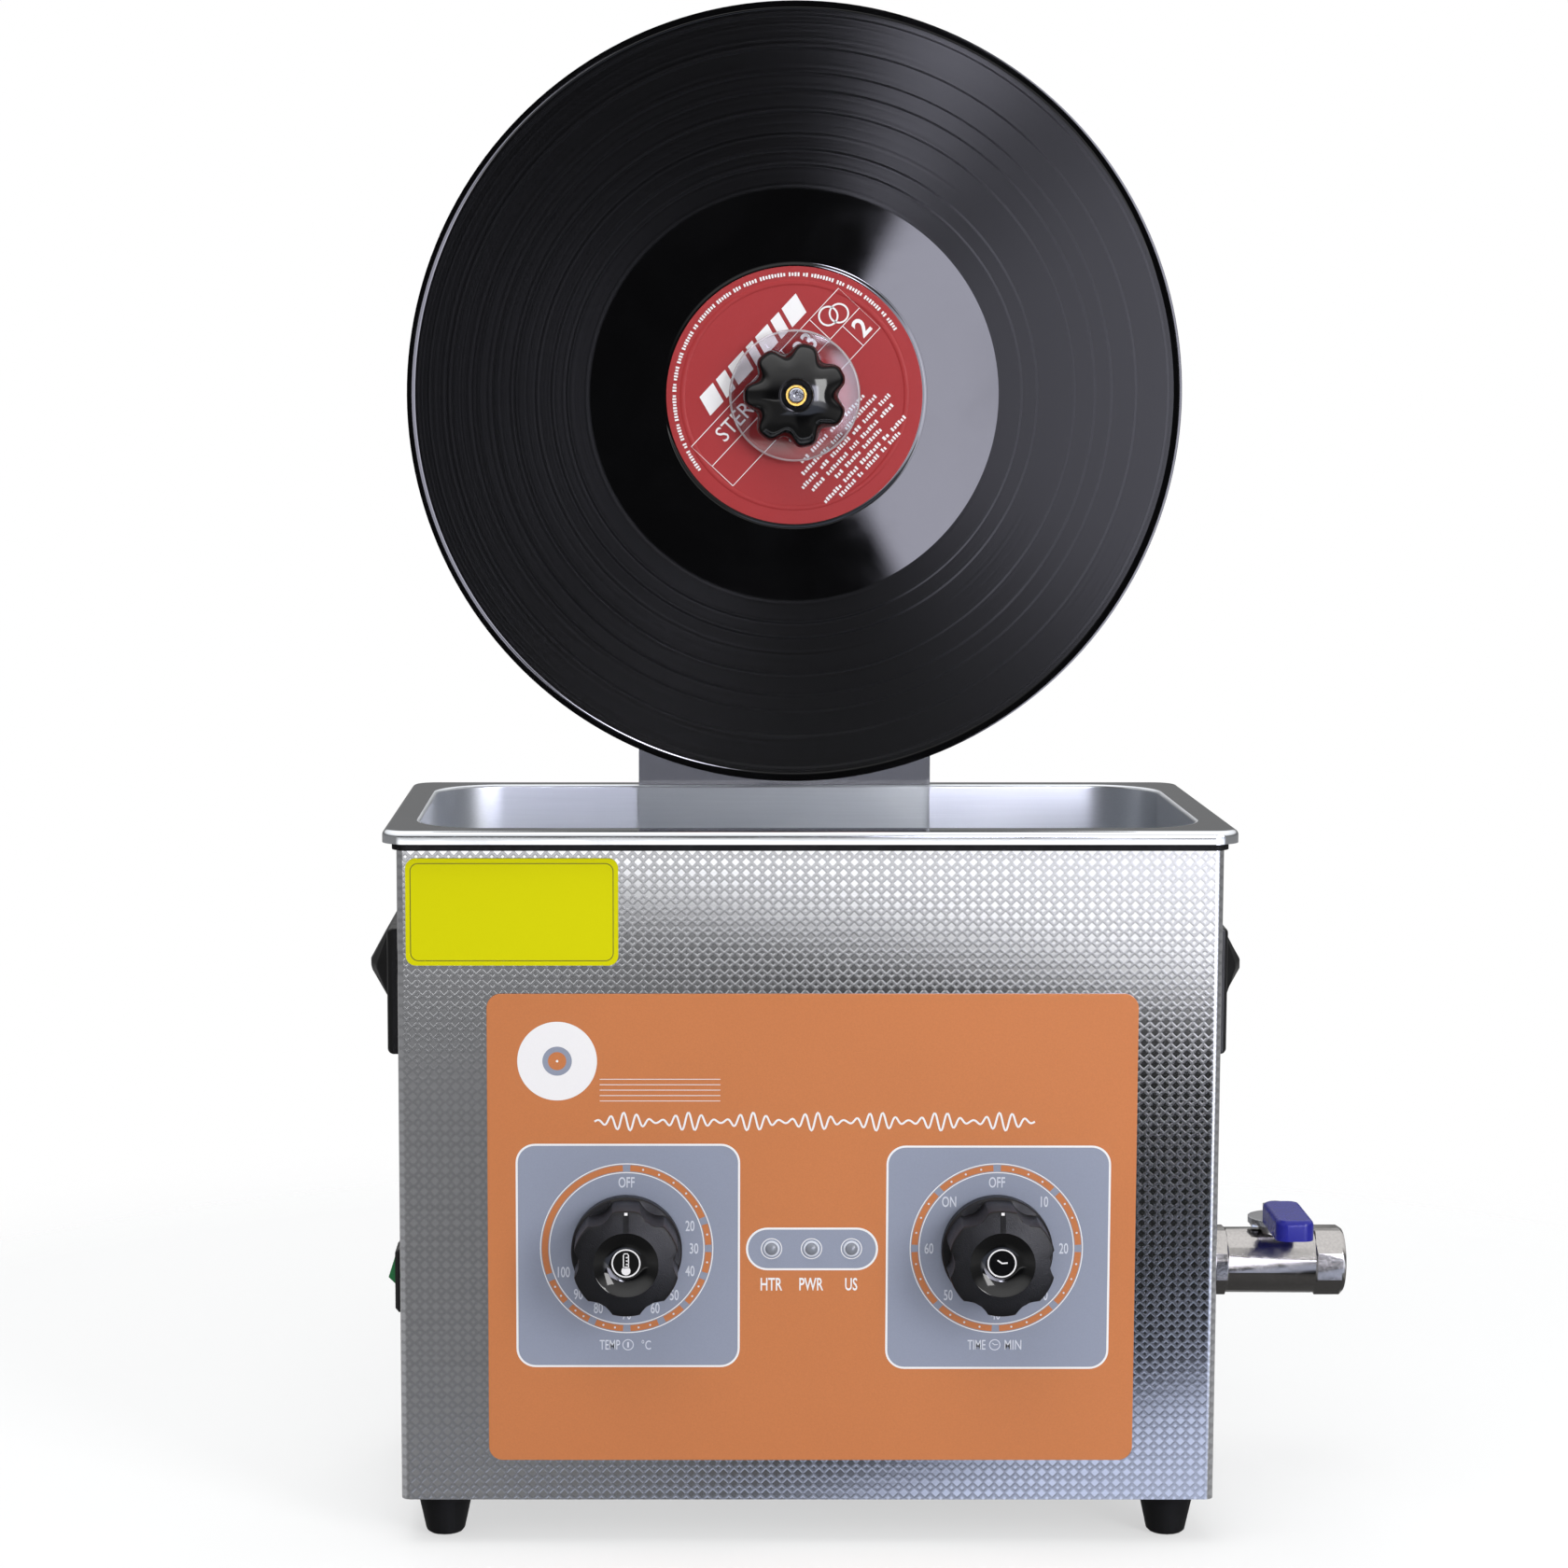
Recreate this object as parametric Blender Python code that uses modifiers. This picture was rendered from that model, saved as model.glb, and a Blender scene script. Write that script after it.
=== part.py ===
"""Record cleaning machine: an ultrasonic bath with a record spinner clamped over the rear edge of its tank.

Every length is in metres. X runs to the right, Y to the back and Z up. Places are measured from the
middle of the case, the front face of the case and the ground. The empty "machine" carries all of it,
and puts the origin on the ground under the middle of the whole machine.
"""

import math

import bmesh
import bpy
from mathutils import Matrix, Vector

# Shared values
FIT_GAP = 0.0003
OVERRUN = 0.002
MERGE_DISTANCE = 0.00001
SMOOTH_ANGLE = math.radians(32)
CORNER_STEPS = 5
TIGHT_CORNER_STEPS = 3
SMALL_SIDES = 12
STUD_SIDES = 16
ROUND_SIDES = 20
LARGE_SIDES = 32
TUBE_RESOLUTION = 2

# Feet
FOOT_HEIGHT = 0.018
FOOT_TOP_RADIUS = 0.0112
FOOT_BOTTOM_RADIUS = 0.0076
FOOT_EDGE = 0.001
FOOT_INSET_X = 0.01585
FOOT_INSET_Y = 0.019

# Case: a folded stainless sheet, open at the top and the bottom
CASE_WIDTH = 0.3141
CASE_DEPTH = 0.170
CASE_HEIGHT = 0.2527
CASE_SHEET = 0.001
CASE_CORNER = 0.0035
BASE_FLANGE = 0.012
BASE_CORNER = 0.0022
BASE_VENT_LENGTH = 0.080
BASE_VENT_WIDTH = 0.004
BASE_VENT_PITCH = 0.011
BASE_VENT_COUNT = 7

# Tank and its rim
RIM_OVERHANG_X = 0.00545
RIM_OVERHANG_Y = 0.005
RIM_STAND = 0.008
RIM_LIP = 0.005
RIM_CORNER = 0.010
RIM_ROUND = 0.0022
TANK_LEDGE_X = 0.00705
TANK_LEDGE_Y = 0.0075
TANK_DROP = 0.140
TANK_CORNER = 0.027
TANK_SHEET = 0.001
TANK_MOUTH_ROUND = 0.0025
TANK_FLOOR_ROUND = 0.012
TANK_ROUND_STEPS = 2
TANK_FLOOR_STEPS = 3
GASKET_OVERHANG = 0.0018
GASKET_CORNER = 0.006

# Under the tank and on its back
TRANSDUCER_COUNT = 3
TRANSDUCER_PITCH = 0.078
TRANSDUCER_X = -0.012
TRANSDUCER_HORN_RADIUS = 0.0225
TRANSDUCER_RADIUS = 0.019
TRANSDUCER_DISC_RADIUS = 0.0175
TRANSDUCER_HORN_HEIGHT = 0.024
TRANSDUCER_DISC_HEIGHT = 0.011
TRANSDUCER_MASS_HEIGHT = 0.015
TRANSDUCER_BOLT_RADIUS = 0.007
TRANSDUCER_BOLT_HEIGHT = 0.005
HEATER_INSET = 0.050
HEATER_HEIGHT = 0.070
HEATER_THICKNESS = 0.002
HEATER_RISE = 0.018

# Drain pipe, from the tank floor to the valve
DRAIN_INSET = 0.028
PIPE_RADIUS = 0.007
PIPE_BORE_RADIUS = 0.0045
PIPE_BEND_RADIUS = 0.020
PIPE_BEND_STEPS = 6
PIPE_SPIGOT = 0.008
PIPE_HOLE_RADIUS = 0.008
DRAIN_FLANGE_RADIUS = 0.012
DRAIN_FLANGE_HEIGHT = 0.0015

# Drain valve: octagonal bar with a turned middle, along X
VALVE_Z = 0.0922
VALVE_LENGTH = 0.0632
VALVE_FLATS = 0.0265
VALVE_SIDES = 8
VALVE_STEPS_PER_SIDE = 4
VALVE_TURNED_FROM = 0.0152
VALVE_TURNED_TO = 0.051
VALVE_STEP = 0.0004
VALVE_CHAMFER = 0.0016
VALVE_CHAMFER_RADIUS = 0.0128
VALVE_BORE_RADIUS = 0.006
VALVE_STEM_X = 0.0367
BALL_RADIUS = 0.009
BALL_BORE_RADIUS = 0.005
BALL_RINGS = 10
STEM_RADIUS = 0.0035
STEM_BOSS_RADIUS = 0.007
STEM_BOSS_RISE = 0.002
STEM_END_RISE = 0.0008

# Valve lever, measured from the valve's axis and the stem's
HUB_RADIUS = 0.0115
HUB_THICKNESS = 0.0025
HUB_TAB_WIDTH = 0.006
HUB_TAB_DROP = 0.0015
LEVER_WIDTH = 0.0118
LEVER_THICKNESS = 0.0022
LEVER_HEEL = 0.0095
LEVER_SHOULDER = 0.0118
LEVER_SHOULDER_RISE = 0.0241
LEVER_DROOP = math.radians(5.2)
LEVER_TIP = 0.0440
LEVER_NUT_FLATS = 0.010
LEVER_NUT_HEIGHT = 0.0045
LEVER_NUT_SIDES = 6
SLEEVE_WIDTH = 0.0150
SLEEVE_THICKNESS = 0.0052
SLEEVE_TIP = 0.0468
SLEEVE_ROUND = 0.0018
SLEEVE_ROUND_STEPS = 2
SLEEVE_START_SHARE = 0.4

# Front panel and the plain yellow plate
PANEL_WIDTH = 0.248
PANEL_HEIGHT = 0.182
PANEL_THICKNESS = 0.0008
PANEL_CORNER = 0.0054
PANEL_X = 0.0010
PANEL_Z = 0.125
NOTICE_WIDTH = 0.0807
NOTICE_HEIGHT = 0.041
NOTICE_THICKNESS = 0.0005
NOTICE_CORNER = 0.0038
NOTICE_INSET = 0.0035
NOTICE_Z = 0.2474

# Dial knobs, each on a shaft from its control inside the case
DIAL_Z = 0.1173
DIAL_SPREAD = 0.0708
KNOB_REACH = 0.028
KNOB_STAND_OFF = 0.0008
KNOB_RADIUS = 0.0212
KNOB_SKIRT_HEIGHT = 0.005
KNOB_LEDGE = 0.0006
KNOB_FRONT_RADIUS = 0.0203
KNOB_FRONT_ROUND = 0.0008
KNOB_SCOOP_DEPTH = 0.0026
KNOB_SCOOP_COUNT = 6
KNOB_SEGMENTS = 48
KNOB_DISH_RADIUS = 0.012
KNOB_DISH_FLOOR_RADIUS = 0.008
KNOB_DISH_WALL_RADIUS = 0.0108
KNOB_DISH_WALL_DEPTH = 0.0018
KNOB_DISH_DEPTH = 0.0032
KNOB_SLOT_WIDTH = 0.0022
KNOB_SLOT_DEPTH = 0.0012
SHAFT_RADIUS = 0.003
SHAFT_HOLE_RADIUS = 0.0045
SHAFT_IN_KNOB = 0.014
SHAFT_IN_CONTROL = 0.012
THERMOSTAT_RADIUS = 0.018
THERMOSTAT_LENGTH = 0.024
TIMER_SIZE = 0.034
TIMER_LENGTH = 0.030
TIMER_CORNER = 0.003

# Indicator lamps
LAMP_PITCH = 0.0153
LAMP_LENS_RADIUS = 0.00235
LAMP_LENS_HEIGHT = 0.0010
LAMP_LENS_SHOULDER = 0.0008
LAMP_FLANGE_RADIUS = 0.0031
LAMP_FLANGE_HEIGHT = 0.0006
LAMP_BARREL_RADIUS = 0.0022
LAMP_LENGTH = 0.014

# Power switch on the left side: its rocker lies with the lower half pressed
SWITCH_Y = 0.030
SWITCH_Z = 0.0992
SWITCH_BEZEL_HEIGHT = 0.0252
SWITCH_BEZEL_WIDTH = 0.020
SWITCH_BEZEL_RISE = 0.0033
SWITCH_BEZEL_CHAMFER = 0.0014
SWITCH_BODY_HEIGHT = 0.0222
SWITCH_BODY_WIDTH = 0.0170
SWITCH_BODY_DEPTH = 0.018
SWITCH_WINDOW_HEIGHT = 0.0206
SWITCH_WINDOW_WIDTH = 0.0150
SWITCH_WINDOW_DEPTH = 0.0062
ROCKER_HALF_HEIGHT = 0.0096
ROCKER_RIDGE_REACH = 0.0056
ROCKER_RIDGE_RISE = 0.0024
ROCKER_TOP_REACH = 0.0012
ROCKER_BOTTOM_REACH = -0.0016
ROCKER_EDGE = 0.0010
ROCKER_FOOT_HALF = 0.0078
ROCKER_DEPTH = 0.0032
ROCKER_TILT = math.radians(14)

# Side handles: a plate, and a hood over a finger grip
HANDLE_INSET = 0.025
HANDLE_BOTTOM = 0.188
HANDLE_TOP = 0.2375
HANDLE_PLATE = 0.0058
HANDLE_EDGE = 0.0012
HOOD_INSET = 0.011
HOOD_END = 0.012
HOOD_END_SHARES = ((0, 0), (0.2, 0.62), (0.55, 0.92), (1, 1))
HOOD_LOW = 0.2075
HOOD_RIDGE_LOW = 0.2192
HOOD_RIDGE_HIGH = 0.2225
HOOD_REACH = 0.0137
HOOD_WALL = 0.0024
GRIP_INSET = 0.009
GRIP_SKIN = 0.0015
GRIP_BOTTOM = 0.203
GRIP_TOP = 0.231

# Back of the case: mains inlet, fan and grille
INLET_INSET = 0.05205
INLET_Z = 0.062
INLET_WIDTH = 0.0268
INLET_HEIGHT = 0.0196
INLET_DEPTH = 0.021
INLET_FLANGE = 0.0022
INLET_FLANGE_THICKNESS = 0.0025
INLET_WALL = 0.0016
INLET_CAVITY = 0.0165
INLET_PIN_LENGTH = 0.0105
INLET_PIN_WIDTH = 0.002
INLET_PIN_HEIGHT = 0.004
INLET_PIN_SPREAD = 0.007
INLET_PIN_STEP = 0.0018
FAN_INSET = 0.08705
FAN_Z = 0.078
FAN_SIZE = 0.080
FAN_DEPTH = 0.020
FAN_CORNER = 0.005
FAN_HOLE_RADIUS = 0.037
FAN_MOTOR_RADIUS = 0.016
FAN_STRUT_WIDTH = 0.004
FAN_STRUT_THICKNESS = 0.003
FAN_HUB_RADIUS = 0.015
FAN_HUB_HEIGHT = 0.013
FAN_BLADE_ROOT = 0.0125
FAN_BLADE_TIP = 0.0355
FAN_BLADE_CHORD = 0.013
FAN_BLADE_THICKNESS = 0.0014
FAN_BLADE_PITCH = math.radians(38)
FAN_BLADE_COUNT = 7
GRILLE_SLOT_WIDTH = 0.0045
GRILLE_SLOT_PITCH = 0.0095
GRILLE_SLOT_COUNT = 7

# On the base plate: driver board, heat sink, transformer
BOARD_INSET = 0.03405
BOARD_Y = 0.066
BOARD_WIDTH = 0.150
BOARD_BREADTH = 0.080
BOARD_THICKNESS = 0.0016
BOARD_POST_HEIGHT = 0.009
BOARD_POST_RADIUS = 0.003
BOARD_POST_INSET = 0.006
SINK_SHIFT = 0.012
SINK_WIDTH = 0.060
SINK_BREADTH = 0.050
SINK_HEIGHT = 0.026
SINK_BASE = 0.004
SINK_FIN = 0.002
SINK_FIN_COUNT = 8
TRANSFORMER_INSET = 0.06505
TRANSFORMER_Y = 0.062
TRANSFORMER_RADIUS = 0.036
TRANSFORMER_HOLE_RADIUS = 0.012
TRANSFORMER_HEIGHT = 0.030
TRANSFORMER_ROUND = 0.008

# Record stand: two clear plates with slots, and a bridge between them that rests on the rim
STAND_X = -0.0048
STAND_WIDTH = 0.1228
STAND_SHEET = 0.005
STAND_CORNER = 0.009
STAND_TOP = 0.512
STAND_IN_TANK = 0.088
STAND_BEHIND = 0.046
STAND_WALL_GAP = 0.0005
STAND_RIM_GAP = 0.001
BRIDGE_HEIGHT = 0.021
SLOT_WIDTH = 0.020
SLOT_STEPS = 8
SLOT_HEADROOM = 0.005
STAND_SCREW_SPREAD = 0.042
STAND_SCREW_DROP = 0.027
STAND_SCREW_HEAD_RADIUS = 0.010
STAND_SCREW_HEAD = 0.011
STAND_SCREW_CLEARANCE = 0.004
KNURL_DEPTH = 0.0008
KNURL_COUNT = 12
STUD_RADIUS = 0.003

# Lift: carriage, clamp knob and geared motor slide down together
SPINDLE_Z = 0.442
LIFT_TRAVEL = 0.105
CARRIAGE_WIDTH = 0.044
CARRIAGE_BELOW = 0.021
CARRIAGE_ABOVE = 0.061
CARRIAGE_CORNER = 0.003
BOSS_RADIUS = 0.0096
BOSS_FRONT = 0.004
CLAMP_RISE = 0.050
CLAMP_STUD_DEPTH = 0.010
CLAMP_FLANGE_RADIUS = 0.012
CLAMP_FLANGE = 0.003
CLAMP_KNOB_RADIUS = 0.014
CLAMP_KNOB_VALLEY = 0.0115
CLAMP_KNOB_LOBES = 6
CLAMP_KNOB_LOBE_SEGMENTS = 5
CLAMP_KNOB_HEIGHT = 0.013
HOUSING_SIZE = 0.062
HOUSING_CORNER = 0.004
HOUSING_LENGTH = 0.055
HOUSING_WALL = 0.0024
MOTOR_FLANGE = 0.003
MOTOR_RADIUS = 0.0185
MOTOR_LENGTH = 0.045
MOTOR_SHAFT_DEPTH = 0.009
COUPLING_RADIUS = 0.0064
COUPLING_LENGTH = 0.0160
COUPLING_GRIP = 0.008
SOCKET_RADIUS = 0.0055
SOCKET_BARREL_RADIUS = 0.0045
SOCKET_BORE_RADIUS = 0.0032
SOCKET_RISE = 0.0022
SOCKET_INSIDE = 0.010
SOCKET_PIN_RADIUS = 0.001
SOCKET_PIN_INSET = 0.001

# Records, and the spindle and clamp that hold them
RECORD_Y = 0.059
RECORD_PITCH = 0.025
RECORD_RADIUS = 0.1508
RECORD_HOLE_RADIUS = 0.0036
RECORD_LABEL_RADIUS = 0.050
RECORD_LABEL_THICKNESS = 0.0024
RECORD_GROOVE_THICKNESS = 0.0016
RECORD_EDGE_THICKNESS = 0.0021
RECORD_EDGE_WIDTH = 0.0030
RECORD_STEP = 0.0010
RECORD_SEGMENTS = 60
SPINDLE_CHAMFER = 0.0004
SPINDLE_END_RISE = 0.0022
SPINDLE_FLANGE_RADIUS = 0.009
SPINDLE_FLANGE = 0.003
SPACER_RADIUS = 0.019
DISC_RADIUS = 0.0255
DISC_THICKNESS = 0.005
DISC_CHAMFER = 0.0009
WASHER_RADIUS = 0.009
WASHER_THICKNESS = 0.0012
WASHER_EDGE_SHARE = 0.25
STAR_RADIUS = 0.0202
STAR_VALLEY = 0.0165
STAR_LOBES = 7
STAR_SEGMENTS = 56
STAR_HEIGHT = 0.0165
STAR_BACK_ROUND = 0.0015
STAR_SHOULDER_HEIGHT = 0.0095
STAR_DOME_RADIUS = 0.0158
STAR_DOME_HEIGHT = 0.0142
STAR_CROWN_RADIUS = 0.0095
STAR_RECESS_RADIUS = 0.0063
STAR_RECESS_DEPTH = 0.0035
INSERT_RADIUS = 0.00425
INSERT_RISE = 0.0008

# Places that follow from the sizes above
CASE_TOP = FOOT_HEIGHT + CASE_HEIGHT
RIM_TOP = CASE_TOP + RIM_STAND
TANK_FLOOR = RIM_TOP - TANK_DROP
MIDDLE_Y = CASE_DEPTH / 2
SIDE_X = CASE_WIDTH / 2
RIM_WIDTH = CASE_WIDTH + 2 * RIM_OVERHANG_X
RIM_DEPTH = CASE_DEPTH + 2 * RIM_OVERHANG_Y
TANK_LENGTH = CASE_WIDTH - 2 * TANK_LEDGE_X
TANK_BREADTH = CASE_DEPTH - 2 * TANK_LEDGE_Y
DRAIN_X = TANK_LENGTH / 2 - DRAIN_INSET
HEATER_WIDTH = TANK_LENGTH - 2 * HEATER_INSET
NOTICE_X = NOTICE_INSET + NOTICE_WIDTH / 2 - SIDE_X
HANDLE_LENGTH = CASE_DEPTH - 2 * HANDLE_INSET
HOOD_LENGTH = HANDLE_LENGTH - 2 * HOOD_INSET
GRIP_LENGTH = HOOD_LENGTH - 2 * GRIP_INSET
INLET_X = SIDE_X - INLET_INSET
FAN_X = FAN_INSET - SIDE_X
BOARD_X = SIDE_X - BOARD_INSET - BOARD_WIDTH / 2
SINK_X = BOARD_X + SINK_SHIFT
TRANSFORMER_X = TRANSFORMER_INSET - SIDE_X
BASE_TOP = FOOT_HEIGHT + CASE_SHEET
PANEL_FRONT = -(FIT_GAP + PANEL_THICKNESS)
VALVE_START_X = SIDE_X + FIT_GAP
STEM_X = SIDE_X + VALVE_STEM_X
HUB_RISE = VALVE_FLATS / 2 + STEM_BOSS_RISE + FIT_GAP
TANK_BACK = MIDDLE_Y + TANK_BREADTH / 2
RIM_BACK = MIDDLE_Y + RIM_DEPTH / 2
INNER_PLATE_BACK = TANK_BACK - STAND_WALL_GAP
INNER_PLATE_FRONT = INNER_PLATE_BACK - STAND_SHEET
OUTER_PLATE_FRONT = RIM_BACK + STAND_RIM_GAP
OUTER_PLATE_BACK = OUTER_PLATE_FRONT + STAND_SHEET
BETWEEN_FROM = INNER_PLATE_BACK + FIT_GAP
BETWEEN_TO = OUTER_PLATE_FRONT - FIT_GAP
SLOT_BOTTOM = SPINDLE_Z - LIFT_TRAVEL - SLOT_WIDTH / 2
SLOT_TOP = SPINDLE_Z + CLAMP_RISE + SLOT_HEADROOM
STAND_SCREW_Z = RIM_TOP - STAND_SCREW_DROP
BOSS_START_Y = INNER_PLATE_FRONT - BOSS_FRONT
HOUSING_Y = OUTER_PLATE_BACK + FIT_GAP
HOUSING_BACK = HOUSING_Y + HOUSING_LENGTH
COUPLING_BACK = OUTER_PLATE_BACK - FIT_GAP
COUPLING_FRONT = COUPLING_BACK - COUPLING_LENGTH
REAR_RECORD_Y = RECORD_Y + RECORD_PITCH
LABEL_HALF = RECORD_LABEL_THICKNESS / 2
FRONT_DISC_BACK = RECORD_Y - LABEL_HALF - FIT_GAP
WASHER_BACK = FRONT_DISC_BACK - DISC_THICKNESS - FIT_GAP
STAR_BACK = WASHER_BACK - WASHER_THICKNESS - FIT_GAP
STAR_RECESS_Y = STAR_BACK - STAR_HEIGHT + STAR_RECESS_DEPTH
REAR_DISC_FRONT = REAR_RECORD_Y + LABEL_HALF + FIT_GAP
FLANGE_FRONT = REAR_DISC_FRONT + DISC_THICKNESS + FIT_GAP
LEFT_REACH = -(SIDE_X + HOOD_REACH)
RIGHT_REACH = VALVE_START_X + VALVE_LENGTH
ORIGIN = Vector(((LEFT_REACH + RIGHT_REACH) / 2, (HOUSING_BACK - KNOB_REACH) / 2, 0))

# Turns that point a piece's own Z axis up, to the front, back, right or left
UP = (0, 0, 0)
FRONT = (math.radians(90), 0, 0)
BACK = (math.radians(-90), 0, 0)
RIGHT = (math.radians(90), 0, math.radians(90))
LEFT = (math.radians(90), 0, math.radians(-90))

# Base colour, roughness, metallic and alpha of each finish
FINISHES = {
    "patterned_steel": ((0.50, 0.49, 0.48), 0.32, 1.0, 1.0),
    "bright_steel": ((0.72, 0.72, 0.71), 0.16, 1.0, 1.0),
    "satin_steel": ((0.60, 0.61, 0.62), 0.34, 1.0, 1.0),
    "plated_brass": ((0.62, 0.61, 0.57), 0.18, 1.0, 1.0),
    "brass": ((0.62, 0.42, 0.16), 0.25, 1.0, 1.0),
    "aluminium": ((0.70, 0.71, 0.72), 0.38, 1.0, 1.0),
    "orange_paint": ((0.62, 0.22, 0.055), 0.42, 0.0, 1.0),
    "yellow_film": ((0.80, 0.74, 0.01), 0.40, 0.0, 1.0),
    "black_rubber": ((0.018, 0.018, 0.019), 0.72, 0.0, 1.0),
    "black_plastic": ((0.020, 0.020, 0.022), 0.45, 0.0, 1.0),
    "gloss_black": ((0.010, 0.010, 0.011), 0.08, 0.0, 1.0),
    "black_vinyl": ((0.008, 0.008, 0.009), 0.18, 0.0, 1.0),
    "blue_sleeve": ((0.035, 0.040, 0.42), 0.28, 0.0, 1.0),
    "green_lens": ((0.01, 0.22, 0.06), 0.20, 0.0, 1.0),
    "grey_lens": ((0.22, 0.23, 0.27), 0.22, 0.0, 1.0),
    "clear_acrylic": ((0.90, 0.93, 0.94), 0.05, 0.0, 0.30),
    "heater_film": ((0.55, 0.25, 0.04), 0.50, 0.0, 1.0),
    "green_board": ((0.02, 0.16, 0.06), 0.45, 0.0, 1.0),
    "copper_winding": ((0.55, 0.22, 0.07), 0.35, 0.6, 1.0),
}


# The scene, its collections and its finishes


def clear_scene():
    for obj in list(bpy.data.objects):
        bpy.data.objects.remove(obj, do_unlink=True)


def new_collection(name):
    collection = bpy.data.collections.new(name)
    bpy.context.scene.collection.children.link(collection)
    return collection


def new_finish(name):
    colour, roughness, metallic, alpha = FINISHES[name]
    material = bpy.data.materials.new(name)
    material.use_nodes = True
    shader = material.node_tree.nodes["Principled BSDF"]
    shader.inputs["Base Color"].default_value = (*colour, 1)
    shader.inputs["Roughness"].default_value = roughness
    shader.inputs["Metallic"].default_value = metallic
    shader.inputs["Alpha"].default_value = alpha
    material.diffuse_color = (*colour, alpha)
    return material


clear_scene()
PARTS = new_collection("Record cleaning machine")
CUTTERS = new_collection("Cutters")
MATERIALS = {name: new_finish(name) for name in FINISHES}


# Objects


def new_axis(name, place, parent):
    """An empty on a joint's axis: what moves there hangs from it."""
    axis = bpy.data.objects.new(name, None)
    axis.empty_display_size = KNOB_RADIUS
    axis.location = place
    axis.parent = parent
    PARTS.objects.link(axis)
    return axis


def add_part(name, mesh, finish, place, parent, facing=UP):
    obj = bpy.data.objects.new(name, mesh)
    if not mesh.materials:
        mesh.materials.append(MATERIALS[finish])
    obj.location = place
    obj.rotation_euler = facing
    obj.parent = parent
    PARTS.objects.link(obj)
    return obj


def use_tool(part, mesh, place, facing, operation):
    """A Boolean of the part with a solid that isn't rendered."""
    tool = bpy.data.objects.new(mesh.name, mesh)
    tool.location = place
    tool.rotation_euler = facing
    tool.parent = part.parent
    tool.hide_render = True
    tool.display_type = "WIRE"
    CUTTERS.objects.link(tool)
    boolean = part.modifiers.new(mesh.name, "BOOLEAN")
    boolean.operation = operation
    boolean.object = tool
    boolean.solver = "EXACT"


def cut(part, mesh, place=(0, 0, 0), facing=UP):
    use_tool(part, mesh, place, facing, "DIFFERENCE")


def join(part, mesh, place=(0, 0, 0), facing=UP):
    use_tool(part, mesh, place, facing, "UNION")


# Meshes


def mesh_of(bm, name, closed=True):
    if closed:
        bmesh.ops.recalc_face_normals(bm, faces=bm.faces)
    mesh = bpy.data.meshes.new(name)
    bm.to_mesh(mesh)
    bm.free()
    mesh.shade_smooth()
    mesh.set_sharp_from_angle(angle=SMOOTH_ANGLE)
    return mesh


def block(name, size, centre=(0, 0, 0)):
    bm = bmesh.new()
    bmesh.ops.create_cube(bm, size=1, matrix=Matrix.Translation(centre) @ Matrix.Diagonal((*size, 1)))
    return mesh_of(bm, name)


def rod(name, radius, start, end, sides=ROUND_SIDES):
    """A round bar along Z, from start to end."""
    bm = bmesh.new()
    middle = Matrix.Translation((0, 0, (start + end) / 2))
    bmesh.ops.create_cone(
        bm, cap_ends=True, segments=sides, radius1=radius, radius2=radius, depth=end - start, matrix=middle
    )
    return mesh_of(bm, name)


def ball(name, radius):
    bm = bmesh.new()
    bmesh.ops.create_uvsphere(bm, u_segments=STUD_SIDES, v_segments=BALL_RINGS, radius=radius)
    return mesh_of(bm, name)


def loft(name, rings, closed_start=True):
    """A skin over rings that all have as many points. Where its start is open, it faces into the bowl."""
    bm = bmesh.new()
    rows = [[bm.verts.new(point) for point in ring] for ring in rings]
    for low, high in zip(rows, rows[1:]):
        for index, start in enumerate(low):
            following = (index + 1) % len(low)
            bm.faces.new((start, low[following], high[following], high[index]))
    if closed_start:
        bm.faces.new(rows[0])
    bm.faces.new(rows[-1])
    return mesh_of(bm, name, closed_start)


def welded_mesh(name, curve, shift):
    """The mesh of a curve, with its loose caps welded on. The curve is removed."""
    helper = bpy.data.objects.new(name, curve)
    CUTTERS.objects.link(helper)
    graph = bpy.context.evaluated_depsgraph_get()
    loose = bpy.data.meshes.new_from_object(helper.evaluated_get(graph))
    bm = bmesh.new()
    bm.from_mesh(loose)
    bmesh.ops.remove_doubles(bm, verts=bm.verts, dist=MERGE_DISTANCE)
    bmesh.ops.translate(bm, verts=bm.verts, vec=shift)
    bpy.data.objects.remove(helper, do_unlink=True)
    bpy.data.curves.remove(curve)
    bpy.data.meshes.remove(loose)
    return mesh_of(bm, name)


def flat_solid(name, thickness, outline, *holes):
    """A flat outline with holes, given a thickness from 0 up along Z."""
    curve = bpy.data.curves.new(name, "CURVE")
    curve.dimensions = "2D"
    curve.fill_mode = "BOTH"
    curve.extrude = thickness / 2
    for loop in (outline, *holes):
        spline = curve.splines.new("POLY")
        spline.points.add(len(loop) - 1)
        for point, (x, y) in zip(spline.points, loop):
            point.co = (x, y, 0, 1)
        spline.use_cyclic_u = True
    return welded_mesh(name, curve, Vector((0, 0, thickness / 2)))


def tube(name, points, radius):
    """A round bar bent along points."""
    curve = bpy.data.curves.new(name, "CURVE")
    curve.dimensions = "3D"
    curve.bevel_depth = radius
    curve.bevel_resolution = TUBE_RESOLUTION
    curve.use_fill_caps = True
    spline = curve.splines.new("POLY")
    spline.points.add(len(points) - 1)
    for point, place in zip(spline.points, points):
        point.co = (*place, 1)
    return welded_mesh(name, curve, Vector())


def profile(name, points):
    """Half a section as (radius, height), down its outer side. One that is off the axis is a closed loop."""
    edges = [(index, index + 1) for index in range(len(points) - 1)]
    if points[0][0] > 0:
        edges.append((len(points) - 1, 0))
    mesh = bpy.data.meshes.new(name)
    mesh.from_pydata([(radius, 0, height) for radius, height in points], edges, [])
    return mesh


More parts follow.
